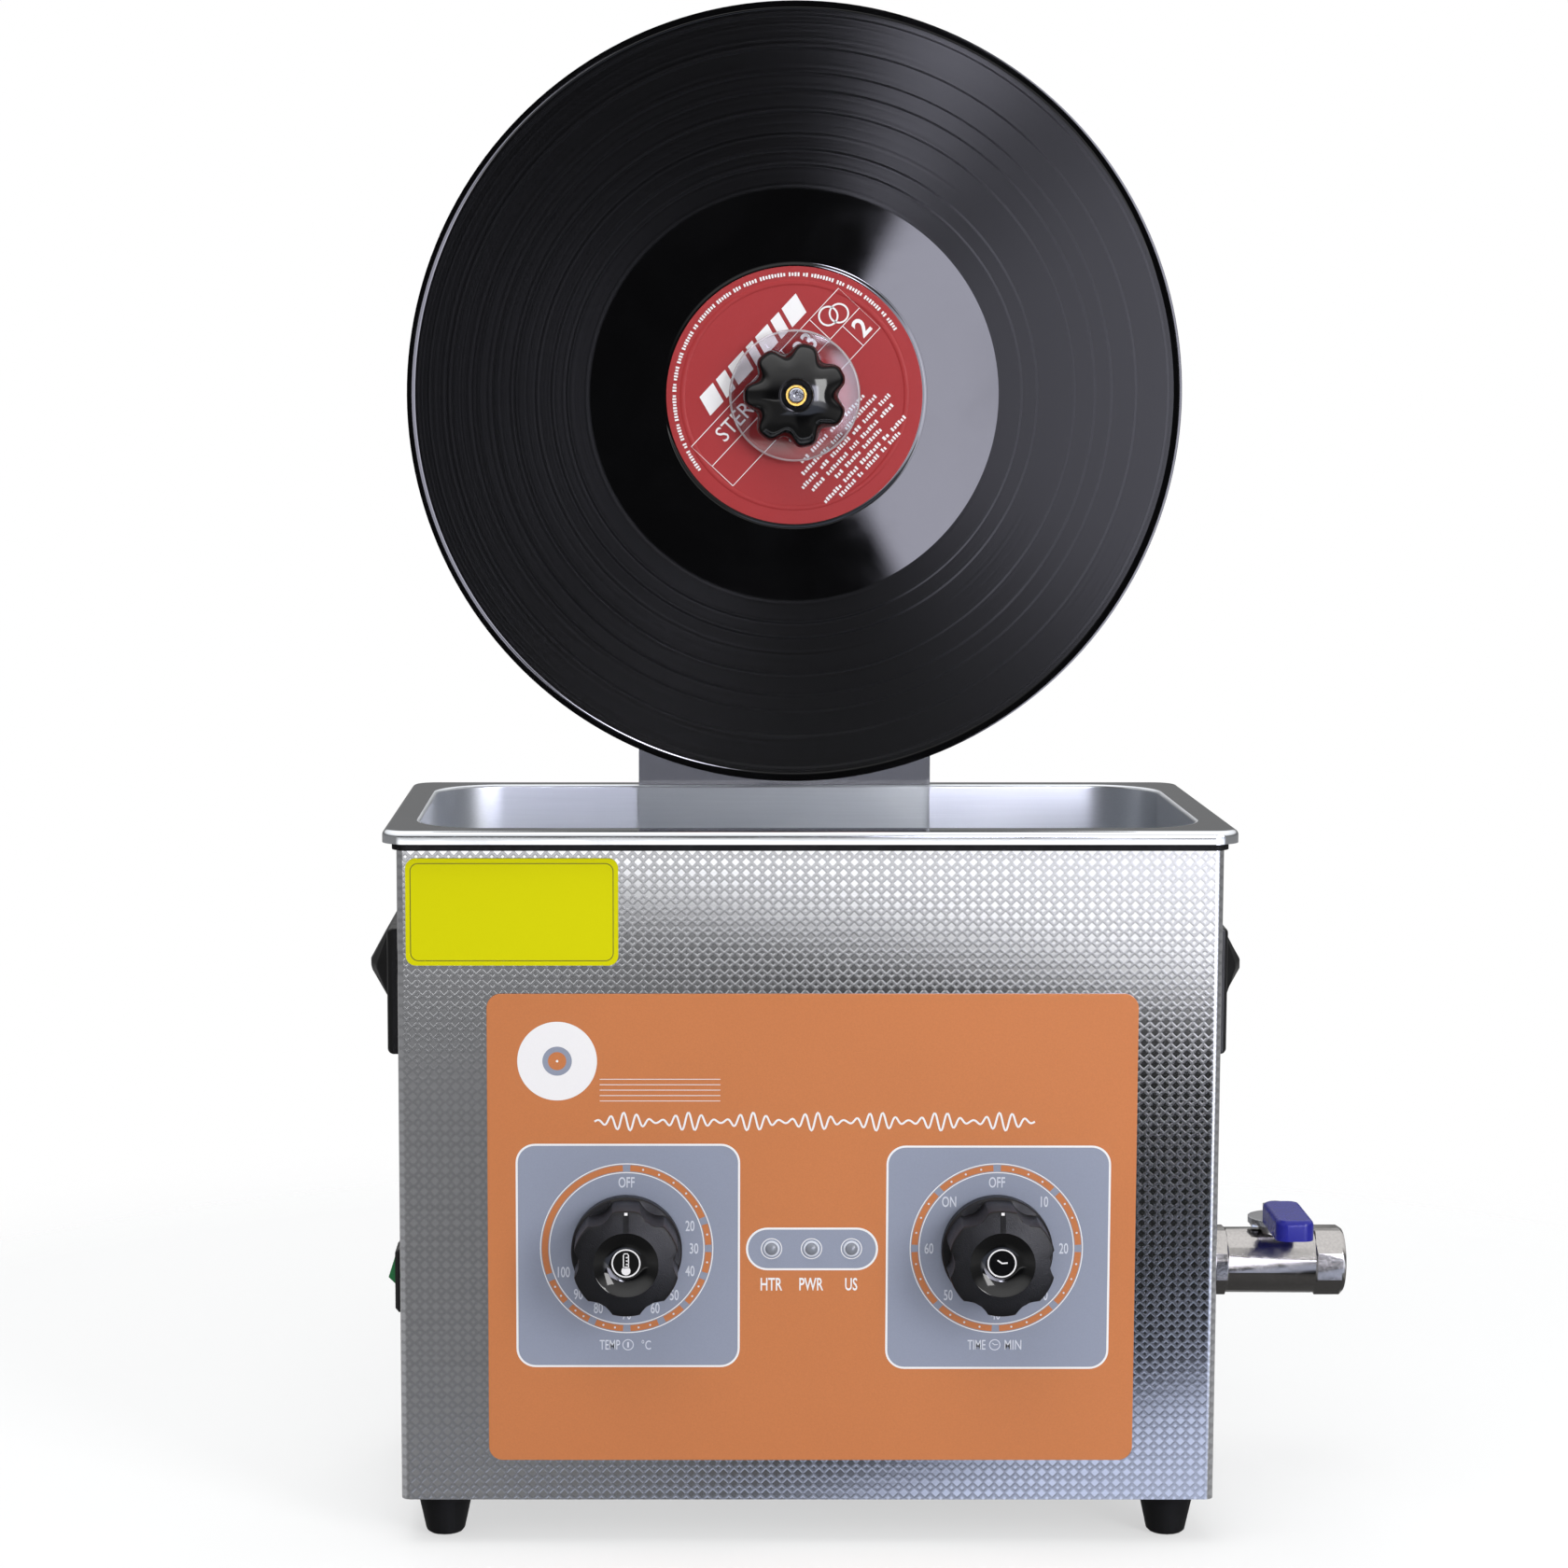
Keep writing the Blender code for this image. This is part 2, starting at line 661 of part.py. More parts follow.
def turn(obj, sides):
    """Turns the object's half section round its Z axis."""
    screw = obj.modifiers.new("Turn", "SCREW")
    screw.steps = sides
    screw.render_steps = sides
    screw.use_merge_vertices = True
    screw.merge_threshold = MERGE_DISTANCE
    return obj


# Outlines


def rounded_rectangle(width, height, radius, steps=CORNER_STEPS, middle_y=0):
    points = []
    for quarter, (side_x, side_y) in enumerate(((1, 1), (-1, 1), (-1, -1), (1, -1))):
        for step in range(steps + 1):
            angle = (quarter + step / steps) * math.pi / 2
            x = side_x * (width / 2 - radius) + radius * math.cos(angle)
            y = side_y * (height / 2 - radius) + radius * math.sin(angle)
            points.append((x, y + middle_y))
    return points


def circle(radius, sides, centre=(0, 0)):
    angles = [math.tau * side / sides for side in range(sides)]
    return [(centre[0] + radius * math.cos(angle), centre[1] + radius * math.sin(angle)) for angle in angles]


def upright_slot(width, bottom, top):
    points = []
    for middle, start in ((top - width / 2, 0), (bottom + width / 2, math.pi)):
        for step in range(SLOT_STEPS + 1):
            angle = start + math.pi * step / SLOT_STEPS
            points.append((width / 2 * math.cos(angle), middle + width / 2 * math.sin(angle)))
    return points


def at_height(outline, height):
    return [(x, y, height) for x, y in outline]


def lobed_ring(radius, valley, lobes, height, segments):
    points = []
    for index in range(segments):
        angle = math.tau * index / segments
        reach = valley + (radius - valley) * (1 + math.cos(lobes * angle)) / 2
        points.append((reach * math.cos(angle), reach * math.sin(angle), height))
    return points


def lobed_grip(name, radius, valley, lobes, segments, start, end):
    """A short bar with lobes round it, narrowed at both ends."""
    edge = (radius - valley) / 2
    rings = [
        lobed_ring(radius - edge, valley - edge, lobes, start, segments),
        lobed_ring(radius, valley, lobes, start + edge, segments),
        lobed_ring(radius, valley, lobes, end - edge, segments),
        lobed_ring(radius - edge, valley - edge, lobes, end, segments),
    ]
    return loft(name, rings)


# Case, base and feet


def make_case(machine):
    inner_width = CASE_WIDTH - 2 * CASE_SHEET
    inner_depth = CASE_DEPTH - 2 * CASE_SHEET
    outer = rounded_rectangle(CASE_WIDTH, CASE_DEPTH, CASE_CORNER, TIGHT_CORNER_STEPS)
    inner_corner = CASE_CORNER - CASE_SHEET
    inner = rounded_rectangle(inner_width, inner_depth, inner_corner, TIGHT_CORNER_STEPS)
    shell = flat_solid("case_shell", CASE_HEIGHT, outer, inner)
    case = add_part("case_shell", shell, "patterned_steel", (0, MIDDLE_Y, FOOT_HEIGHT), machine)
    inside = -CASE_SHEET - OVERRUN
    for side in (-1, 1):
        hole = rod("shaft_hole", SHAFT_HOLE_RADIUS, inside, OVERRUN)
        cut(case, hole, (PANEL_X + side * DIAL_SPREAD, 0, DIAL_Z), FRONT)
    for step in (-1, 0, 1):
        hole = rod("lamp_hole", LAMP_BARREL_RADIUS + FIT_GAP, inside, OVERRUN, SMALL_SIDES)
        cut(case, hole, (PANEL_X + step * LAMP_PITCH, 0, DIAL_Z), FRONT)
    cut(case, rod("pipe_hole", PIPE_HOLE_RADIUS, inside, OVERRUN), (SIDE_X, MIDDLE_Y, VALVE_Z), RIGHT)
    through = 2 * (CASE_SHEET + OVERRUN)
    switch_size = (through, SWITCH_BODY_WIDTH + 2 * FIT_GAP, SWITCH_BODY_HEIGHT + 2 * FIT_GAP)
    cut(case, block("switch_hole", switch_size), (-SIDE_X, SWITCH_Y, SWITCH_Z))
    inlet_size = (INLET_WIDTH + 2 * FIT_GAP, through, INLET_HEIGHT + 2 * FIT_GAP)
    cut(case, block("inlet_hole", inlet_size), (INLET_X, CASE_DEPTH, INLET_Z))
    for index in range(GRILLE_SLOT_COUNT):
        rise = (index - (GRILLE_SLOT_COUNT - 1) / 2) * GRILLE_SLOT_PITCH
        chord = 2 * math.sqrt(FAN_HOLE_RADIUS**2 - rise**2)
        opening = block("grille_slot", (chord, through, GRILLE_SLOT_WIDTH))
        cut(case, opening, (FAN_X, CASE_DEPTH, FAN_Z + rise))


def make_base(machine):
    """A shallow tray that closes the case from below, with air slots under the driver board."""
    width = CASE_WIDTH - 2 * (CASE_SHEET + FIT_GAP)
    depth = CASE_DEPTH - 2 * (CASE_SHEET + FIT_GAP)
    outline = rounded_rectangle(width, depth, BASE_CORNER, TIGHT_CORNER_STEPS)
    tray = flat_solid("base_plate", BASE_FLANGE, outline)
    base = add_part("base_plate", tray, "satin_steel", (0, MIDDLE_Y, FOOT_HEIGHT), machine)
    room_width = width - 2 * CASE_SHEET
    room_depth = depth - 2 * CASE_SHEET
    room = rounded_rectangle(room_width, room_depth, BASE_CORNER - CASE_SHEET, TIGHT_CORNER_STEPS)
    cut(base, flat_solid("base_room", BASE_FLANGE, room), (0, MIDDLE_Y, BASE_TOP))
    for index in range(BASE_VENT_COUNT):
        along = (index - (BASE_VENT_COUNT - 1) / 2) * BASE_VENT_PITCH
        vent = block("base_vent", (BASE_VENT_LENGTH, BASE_VENT_WIDTH, 2 * (CASE_SHEET + OVERRUN)))
        cut(base, vent, (BOARD_X, MIDDLE_Y + along, FOOT_HEIGHT))


def make_feet(machine):
    top = FOOT_HEIGHT - FIT_GAP
    section = [
        (0, top),
        (FOOT_TOP_RADIUS, top),
        (FOOT_BOTTOM_RADIUS, FOOT_EDGE),
        (FOOT_BOTTOM_RADIUS - FOOT_EDGE, 0),
        (0, 0),
    ]
    foot = profile("foot", section)
    for row, y in (("front", FOOT_INSET_Y), ("rear", CASE_DEPTH - FOOT_INSET_Y)):
        for side, name in ((-1, "left"), (1, "right")):
            place = (side * (SIDE_X - FOOT_INSET_X), y, 0)
            turn(add_part(f"foot_{row}_{name}", foot, "black_rubber", place, machine), STUD_SIDES)


# Tank and what is fixed to it


def make_tank(machine):
    """One drawn sheet: a rolled lip, a flat rim, and a tank with round corners and a round floor edge."""
    rings = [at_height(rounded_rectangle(RIM_WIDTH, RIM_DEPTH, RIM_CORNER), -RIM_LIP)]
    for step in range(TANK_ROUND_STEPS + 1):
        angle = step / TANK_ROUND_STEPS * math.pi / 2
        draw_in = RIM_ROUND * (1 - math.cos(angle))
        outline = rounded_rectangle(RIM_WIDTH - 2 * draw_in, RIM_DEPTH - 2 * draw_in, RIM_CORNER - draw_in)
        rings.append(at_height(outline, -RIM_ROUND * (1 - math.sin(angle))))
    for step in range(TANK_ROUND_STEPS + 1):
        angle = step / TANK_ROUND_STEPS * math.pi / 2
        spread = TANK_MOUTH_ROUND * (1 - math.sin(angle))
        outline = rounded_rectangle(TANK_LENGTH + 2 * spread, TANK_BREADTH + 2 * spread, TANK_CORNER + spread)
        rings.append(at_height(outline, -TANK_MOUTH_ROUND * (1 - math.cos(angle))))
    for step in range(TANK_FLOOR_STEPS + 1):
        angle = step / TANK_FLOOR_STEPS * math.pi / 2
        draw_in = TANK_FLOOR_ROUND * (1 - math.cos(angle))
        length = TANK_LENGTH - 2 * draw_in
        breadth = TANK_BREADTH - 2 * draw_in
        outline = rounded_rectangle(length, breadth, TANK_CORNER - draw_in)
        rings.append(at_height(outline, -TANK_DROP + TANK_FLOOR_ROUND * (1 - math.sin(angle))))
    sheet = loft("tank", rings, closed_start=False)
    tank = add_part("tank", sheet, "satin_steel", (0, MIDDLE_Y, RIM_TOP), machine)
    solid = tank.modifiers.new("Sheet", "SOLIDIFY")
    solid.thickness = TANK_SHEET
    solid.offset = -1
    solid.use_even_offset = True
    hole = rod("drain_hole", PIPE_RADIUS + FIT_GAP, -TANK_SHEET - OVERRUN, OVERRUN)
    cut(tank, hole, (DRAIN_X, MIDDLE_Y, TANK_FLOOR))


def make_gasket(machine):
    """A rubber frame between the case and the rim."""
    height = RIM_STAND - TANK_SHEET - 2 * FIT_GAP
    width = CASE_WIDTH + 2 * GASKET_OVERHANG
    depth = CASE_DEPTH + 2 * GASKET_OVERHANG
    outer = rounded_rectangle(width, depth, GASKET_CORNER)
    spare = TANK_SHEET + FIT_GAP + TANK_MOUTH_ROUND
    inner = rounded_rectangle(TANK_LENGTH + 2 * spare, TANK_BREADTH + 2 * spare, TANK_CORNER + spare)
    frame = flat_solid("rim_gasket", height, outer, inner)
    add_part("rim_gasket", frame, "black_rubber", (0, MIDDLE_Y, CASE_TOP + FIT_GAP), machine)


def make_transducers(machine):
    """Sandwich transducers bonded under the tank floor: horn, discs, back mass and bolt."""
    horn_end = -TRANSDUCER_HORN_HEIGHT
    discs_end = horn_end - TRANSDUCER_DISC_HEIGHT
    mass_end = discs_end - TRANSDUCER_MASS_HEIGHT
    bolt_end = mass_end - TRANSDUCER_BOLT_HEIGHT
    section = [
        (0, 0),
        (TRANSDUCER_HORN_RADIUS, 0),
        (TRANSDUCER_RADIUS, horn_end),
        (TRANSDUCER_DISC_RADIUS, horn_end),
        (TRANSDUCER_DISC_RADIUS, discs_end),
        (TRANSDUCER_RADIUS, discs_end),
        (TRANSDUCER_RADIUS, mass_end),
        (TRANSDUCER_BOLT_RADIUS, mass_end),
        (TRANSDUCER_BOLT_RADIUS, bolt_end),
        (0, bolt_end),
    ]
    transducer = profile("transducer", section)
    top = TANK_FLOOR - TANK_SHEET - FIT_GAP
    for index in range(TRANSDUCER_COUNT):
        x = TRANSDUCER_X + (index - (TRANSDUCER_COUNT - 1) / 2) * TRANSDUCER_PITCH
        place = (x, MIDDLE_Y, top)
        turn(add_part(f"transducer_{index + 1}", transducer, "aluminium", place, machine), STUD_SIDES)


def make_heater(machine):
    y = TANK_BACK + TANK_SHEET + FIT_GAP + HEATER_THICKNESS / 2
    z = TANK_FLOOR + HEATER_RISE + HEATER_HEIGHT / 2
    pad = block("heater_pad", (HEATER_WIDTH, HEATER_THICKNESS, HEATER_HEIGHT))
    add_part("heater_pad", pad, "heater_film", (0, y, z), machine)


def pipe_route(top, end):
    """From a height above the tank floor down, round a bend, and out to the right as far as end."""
    points = [(DRAIN_X, 0, top)]
    for step in range(PIPE_BEND_STEPS + 1):
        angle = step / PIPE_BEND_STEPS * math.pi / 2
        x = DRAIN_X + PIPE_BEND_RADIUS * (1 - math.cos(angle))
        z = VALVE_Z + PIPE_BEND_RADIUS * (1 - math.sin(angle))
        points.append((x, 0, z))
    return [*points, (end, 0, VALVE_Z)]


def make_drain_pipe(machine):
    place = (0, MIDDLE_Y, 0)
    flange_bottom = TANK_FLOOR + FIT_GAP
    flange_top = flange_bottom + DRAIN_FLANGE_HEIGHT
    end = VALVE_START_X + PIPE_SPIGOT
    wall = tube("drain_pipe", pipe_route((flange_bottom + flange_top) / 2, end), PIPE_RADIUS)
    pipe = add_part("drain_pipe", wall, "bright_steel", place, machine)
    flange = rod("drain_flange", DRAIN_FLANGE_RADIUS, flange_bottom, flange_top)
    join(pipe, flange, (DRAIN_X, MIDDLE_Y, 0))
    cut(pipe, tube("pipe_bore", pipe_route(flange_top + OVERRUN, end + OVERRUN), PIPE_BORE_RADIUS), place)


# Drain valve


def octagon_reach(angle):
    """Distance from the bar's axis to its side, with flats on top, below, in front and behind."""
    side = math.tau / VALVE_SIDES
    return VALVE_FLATS / 2 / math.cos((angle + side / 2) % side - side / 2)


def valve_ring(x, turned=False, limit=None):
    count = VALVE_SIDES * VALVE_STEPS_PER_SIDE
    points = []
    for index in range(count):
        angle = math.tau * index / count
        reach = VALVE_FLATS / 2 if turned else octagon_reach(angle)
        if limit:
            reach = min(reach, limit)
        points.append((x, reach * math.cos(angle), reach * math.sin(angle)))
    return points


def make_valve_body(machine):
    rings = [
        valve_ring(0, limit=VALVE_CHAMFER_RADIUS),
        valve_ring(VALVE_CHAMFER),
        valve_ring(VALVE_TURNED_FROM),
        valve_ring(VALVE_TURNED_FROM + VALVE_STEP, turned=True),
        valve_ring(VALVE_TURNED_TO, turned=True),
        valve_ring(VALVE_TURNED_TO + VALVE_STEP),
        valve_ring(VALVE_LENGTH - VALVE_CHAMFER),
        valve_ring(VALVE_LENGTH, limit=VALVE_CHAMFER_RADIUS),
    ]
    start = (VALVE_START_X, MIDDLE_Y, VALVE_Z)
    stem = (STEM_X, MIDDLE_Y, VALVE_Z)
    body = add_part("valve_body", loft("valve_body", rings), "plated_brass", start, machine)
    boss_top = VALVE_FLATS / 2 + STEM_BOSS_RISE
    join(body, rod("stem_boss", STEM_BOSS_RADIUS, 0, boss_top), stem)
    cut(body, rod("valve_bore", VALVE_BORE_RADIUS, -OVERRUN, VALVE_LENGTH + OVERRUN), start, RIGHT)
    cut(body, rod("pipe_socket", PIPE_RADIUS + FIT_GAP, -OVERRUN, PIPE_SPIGOT + FIT_GAP), start, RIGHT)
    cut(body, ball("ball_chamber", BALL_RADIUS + FIT_GAP), stem)
    cut(body, rod("stem_bore", STEM_RADIUS + FIT_GAP, 0, boss_top + OVERRUN, STUD_SIDES), stem)


def strip(name, line, thickness, width):
    """A strip that follows a line in the YZ plane, with its width across X."""
    upper = []
    lower = []
    for index, centre in enumerate(line):
        before = line[max(index - 1, 0)]
        after = line[min(index + 1, len(line) - 1)]
        along = (after - before).normalized()
        square = Vector((-along.y, along.x)) * thickness / 2
        upper.append(centre + square)
        lower.append(centre - square)
    outline = upper + lower[::-1]
    return loft(name, [[(x, y, z) for y, z in outline] for x in (-width / 2, width / 2)])


def lever_point(reach):
    """The lever's centre at a distance in front of the stem, past the shoulder, as (Y, Z)."""
    return Vector((-reach, LEVER_SHOULDER_RISE - (reach - LEVER_SHOULDER) * math.tan(LEVER_DROOP)))


def make_lever(machine):
    """Ball, stem, lever, nut and sleeve: all turn together about the stem."""
    axis = new_axis("drain_lever_axis", (STEM_X, MIDDLE_Y, VALVE_Z), machine)
    sphere = add_part("valve_ball", ball("valve_ball", BALL_RADIUS), "bright_steel", (0, 0, 0), axis)
    bore_end = BALL_RADIUS + OVERRUN
    cut(sphere, rod("ball_bore", BALL_BORE_RADIUS, -bore_end, bore_end), facing=FRONT)

    hub_top = HUB_RISE + HUB_THICKNESS
    nut_bottom = hub_top + FIT_GAP
    nut_top = nut_bottom + LEVER_NUT_HEIGHT
    stem = rod("valve_stem", STEM_RADIUS, BALL_RADIUS + FIT_GAP, nut_top + STEM_END_RISE, STUD_SIDES)
    add_part("valve_stem", stem, "bright_steel", (0, 0, 0), axis)
    corner_radius = LEVER_NUT_FLATS / 2 / math.cos(math.pi / LEVER_NUT_SIDES)
    hexagon = rod("valve_lever_nut", corner_radius, nut_bottom, nut_top, LEVER_NUT_SIDES)
    nut = add_part("valve_lever_nut", hexagon, "bright_steel", (0, 0, 0), axis)
    bore = STEM_RADIUS + FIT_GAP
    cut(nut, rod("nut_bore", bore, nut_bottom - OVERRUN, nut_top + OVERRUN, STUD_SIDES))

    hub_middle = HUB_RISE + HUB_THICKNESS / 2
    start = Vector((-LEVER_HEEL / 2, hub_middle))
    heel = Vector((-LEVER_HEEL, hub_middle))
    shoulder = lever_point(LEVER_SHOULDER)
    hub = rod("valve_lever", HUB_RADIUS, HUB_RISE, hub_top)
    lever = add_part("valve_lever", hub, "bright_steel", (0, 0, 0), axis)
    line = [start, heel, shoulder, lever_point(LEVER_TIP)]
    join(lever, strip("lever_arm", line, LEVER_THICKNESS, LEVER_WIDTH))
    tab = block("lever_tab", (HUB_THICKNESS, HUB_TAB_WIDTH, 2 * HUB_TAB_DROP))
    for side in (-1, 1):
        join(lever, tab, (side * (HUB_RADIUS - HUB_THICKNESS), 0, HUB_RISE))
    cut(lever, rod("hub_bore", bore, HUB_RISE - OVERRUN, hub_top + OVERRUN, STUD_SIDES))

    cover_line = [heel.lerp(shoulder, SLEEVE_START_SHARE), shoulder, lever_point(SLEEVE_TIP)]
    cover = strip("valve_lever_sleeve", cover_line, SLEEVE_THICKNESS, SLEEVE_WIDTH)
    sleeve = add_part("valve_lever_sleeve", cover, "blue_sleeve", (0, 0, 0), axis)
    bevel = sleeve.modifiers.new("Soft edges", "BEVEL")
    bevel.width = SLEEVE_ROUND
    bevel.segments = SLEEVE_ROUND_STEPS
    room_line = [start, heel, shoulder, lever_point(LEVER_TIP + FIT_GAP)]
    cut(sleeve, strip("sleeve_room", room_line, LEVER_THICKNESS + 2 * FIT_GAP, LEVER_WIDTH + 2 * FIT_GAP))


# Front: panel, plain plate, dial knobs and lamps


def make_front(machine):
    outline = rounded_rectangle(PANEL_WIDTH, PANEL_HEIGHT, PANEL_CORNER)
    drop = DIAL_Z - PANEL_Z
    lamp_hole = LAMP_BARREL_RADIUS + FIT_GAP
    holes = [circle(SHAFT_HOLE_RADIUS, ROUND_SIDES, (side * DIAL_SPREAD, drop)) for side in (-1, 1)]
    holes += [circle(lamp_hole, SMALL_SIDES, (step * LAMP_PITCH, drop)) for step in (-1, 0, 1)]
    panel = flat_solid("front_panel", PANEL_THICKNESS, outline, *holes)
    add_part("front_panel", panel, "orange_paint", (PANEL_X, -FIT_GAP, PANEL_Z), machine, FRONT)
    outline = rounded_rectangle(NOTICE_WIDTH, NOTICE_HEIGHT, NOTICE_CORNER)
    plate = flat_solid("notice_plate", NOTICE_THICKNESS, outline)
    add_part("notice_plate", plate, "yellow_film", (NOTICE_X, -FIT_GAP, NOTICE_Z), machine, FRONT)


def knob_ring(radius, height, scoop_depth=0):
    """A ring with scoops of the given depth, and a rib between scoops at the top."""
    points = []
    for index in range(KNOB_SEGMENTS):
        angle = math.tau * index / KNOB_SEGMENTS
        wave = -math.cos(KNOB_SCOOP_COUNT * (angle - math.pi / 2))
        reach = radius - scoop_depth * max(wave, 0)
        points.append((reach * math.cos(angle), reach * math.sin(angle), height))
    return points


def make_knob(machine, name, shaft_name, side):
    """A knob with a round skirt, scooped sides, a dished front and a slot for its pointer."""
    axis = new_axis(f"{name}_axis", (PANEL_X + side * DIAL_SPREAD, 0, DIAL_Z), machine)
    back = -PANEL_FRONT + KNOB_STAND_OFF
    skirt = back + KNOB_SKIRT_HEIGHT
    front = KNOB_REACH
    rings = [
        knob_ring(KNOB_RADIUS, back),
        knob_ring(KNOB_RADIUS, skirt),
        knob_ring(KNOB_RADIUS - KNOB_LEDGE, skirt + KNOB_LEDGE, KNOB_SCOOP_DEPTH),
        knob_ring(KNOB_FRONT_RADIUS, front - KNOB_FRONT_ROUND, KNOB_SCOOP_DEPTH),
        knob_ring(KNOB_FRONT_RADIUS - KNOB_FRONT_ROUND, front, KNOB_SCOOP_DEPTH),
        knob_ring(KNOB_DISH_RADIUS, front),
        knob_ring(KNOB_DISH_WALL_RADIUS, front - KNOB_DISH_WALL_DEPTH),
        knob_ring(KNOB_DISH_FLOOR_RADIUS, front - KNOB_DISH_DEPTH),
    ]
    knob = add_part(name, loft(name, rings), "black_plastic", (0, 0, 0), axis, FRONT)
    shaft_end = back + SHAFT_IN_KNOB
    bore_end = shaft_end + FIT_GAP
    bore = rod("knob_bore", SHAFT_RADIUS + FIT_GAP, back - OVERRUN, bore_end, STUD_SIDES)
    cut(knob, bore, facing=FRONT)
    slot_start = KNOB_DISH_RADIUS - KNOB_SLOT_DEPTH
    slot_end = KNOB_FRONT_RADIUS + OVERRUN
    pointer = block("knob_pointer", (KNOB_SLOT_WIDTH, 2 * KNOB_SLOT_DEPTH, slot_end - slot_start))
    cut(knob, pointer, (0, -front, (slot_start + slot_end) / 2))
    shaft_start = -CASE_SHEET - FIT_GAP - SHAFT_IN_CONTROL
    shaft = rod(shaft_name, SHAFT_RADIUS, shaft_start, shaft_end, STUD_SIDES)
    add_part(shaft_name, shaft, "bright_steel", (0, 0, 0), axis, FRONT)


def make_controls(machine):
    make_knob(machine, "temperature_knob", "thermostat_shaft", -1)
    make_knob(machine, "timer_knob", "timer_shaft", 1)
    inside = CASE_SHEET + FIT_GAP
    depth = SHAFT_IN_CONTROL + FIT_GAP
    bore = rod("control_bore", SHAFT_RADIUS + FIT_GAP, -OVERRUN, depth, STUD_SIDES)
    left = (PANEL_X - DIAL_SPREAD, inside, DIAL_Z)
    capsule = rod("thermostat_body", THERMOSTAT_RADIUS, 0, THERMOSTAT_LENGTH, LARGE_SIDES)
    thermostat = add_part("thermostat_body", capsule, "black_plastic", left, machine, BACK)
    cut(thermostat, bore, left, BACK)
    right = (PANEL_X + DIAL_SPREAD, inside, DIAL_Z)
    square = rounded_rectangle(TIMER_SIZE, TIMER_SIZE, TIMER_CORNER, TIGHT_CORNER_STEPS)
    box = flat_solid("timer_body", TIMER_LENGTH, square)
    timer = add_part("timer_body", box, "black_plastic", right, machine, BACK)
    cut(timer, bore, right, BACK)


def make_lamps(machine):
    seat = -PANEL_FRONT + FIT_GAP
    face = seat + LAMP_FLANGE_HEIGHT
    section = [
        (0, face + LAMP_LENS_HEIGHT),
        (LAMP_LENS_RADIUS / 2, face + LAMP_LENS_SHOULDER),
        (LAMP_LENS_RADIUS, face),
        (LAMP_FLANGE_RADIUS, face),
        (LAMP_FLANGE_RADIUS, seat),
        (LAMP_BARREL_RADIUS, seat),
        (LAMP_BARREL_RADIUS, -LAMP_LENGTH),
        (0, -LAMP_LENGTH),
    ]
    lamp = profile("lamp", section)
    for step, name in ((-1, "heater_lamp"), (0, "power_lamp"), (1, "cleaning_lamp")):
        place = (PANEL_X + step * LAMP_PITCH, 0, DIAL_Z)
        turn(add_part(name, lamp, "grey_lens", place, machine, FRONT), SMALL_SIDES)


# Sides: power switch and handles


def make_switch(machine):
    place = (-SIDE_X, SWITCH_Y, SWITCH_Z)
    chamfer = SWITCH_BEZEL_CHAMFER
    steps = TIGHT_CORNER_STEPS
    outline = rounded_rectangle(SWITCH_BEZEL_WIDTH, SWITCH_BEZEL_HEIGHT, chamfer, steps)
    front_width = SWITCH_BEZEL_WIDTH - 2 * chamfer
    front_height = SWITCH_BEZEL_HEIGHT - 2 * chamfer
    front_outline = rounded_rectangle(front_width, front_height, chamfer / 2, steps)
    rings = [
        at_height(outline, FIT_GAP),
        at_height(outline, SWITCH_BEZEL_RISE - chamfer),
        at_height(front_outline, SWITCH_BEZEL_RISE),
    ]
    bezel = loft("power_switch_body", rings)
    body = add_part("power_switch_body", bezel, "black_plastic", place, machine, LEFT)
    top = SWITCH_BEZEL_RISE / 2
    inner = (SWITCH_BODY_WIDTH, SWITCH_BODY_HEIGHT, top + SWITCH_BODY_DEPTH)
    join(body, block("switch_inner", inner, (0, 0, (top - SWITCH_BODY_DEPTH) / 2)), place, LEFT)
    mouth = SWITCH_BEZEL_RISE + OVERRUN
    window = (SWITCH_WINDOW_WIDTH, SWITCH_WINDOW_HEIGHT, mouth + SWITCH_WINDOW_DEPTH)
    cut(body, block("switch_window", window, (0, 0, (mouth - SWITCH_WINDOW_DEPTH) / 2)), place, LEFT)

    section = [
        (ROCKER_RIDGE_REACH, ROCKER_RIDGE_RISE),
        (ROCKER_TOP_REACH, ROCKER_HALF_HEIGHT),
        (ROCKER_TOP_REACH - ROCKER_EDGE, ROCKER_HALF_HEIGHT),
        (-ROCKER_DEPTH, ROCKER_FOOT_HALF),
        (-ROCKER_DEPTH, -ROCKER_FOOT_HALF),
        (ROCKER_BOTTOM_REACH - ROCKER_EDGE, -ROCKER_HALF_HEIGHT),
        (ROCKER_BOTTOM_REACH, -ROCKER_HALF_HEIGHT),
    ]
    half_width = SWITCH_WINDOW_WIDTH / 2 - FIT_GAP
    sides = [[(-out, y, z) for out, z in section] for y in (-half_width, half_width)]
    axis = new_axis("power_rocker_axis", place, machine)
    tilt = (0, -ROCKER_TILT, 0)
    add_part("power_rocker", loft("power_rocker", sides), "green_lens", (0, 0, 0), axis, tilt)


def handle_ring(side, y, plate, hood_share):
    """The handle's section at one place along it, for the left (-1) or right (1) side."""
    reach = plate + hood_share * (HOOD_REACH - plate)
    section = [
        (FIT_GAP, HANDLE_BOTTOM),
        (plate - HANDLE_EDGE, HANDLE_BOTTOM),
        (plate, HANDLE_BOTTOM + HANDLE_EDGE),
        (plate, HOOD_LOW),
        (reach, HOOD_RIDGE_LOW),
        (reach, HOOD_RIDGE_HIGH),
        (plate, HANDLE_TOP - HANDLE_EDGE),
        (plate - HANDLE_EDGE, HANDLE_TOP),
        (FIT_GAP, HANDLE_TOP),
    ]
    return [(side * out, y, z) for out, z in section]


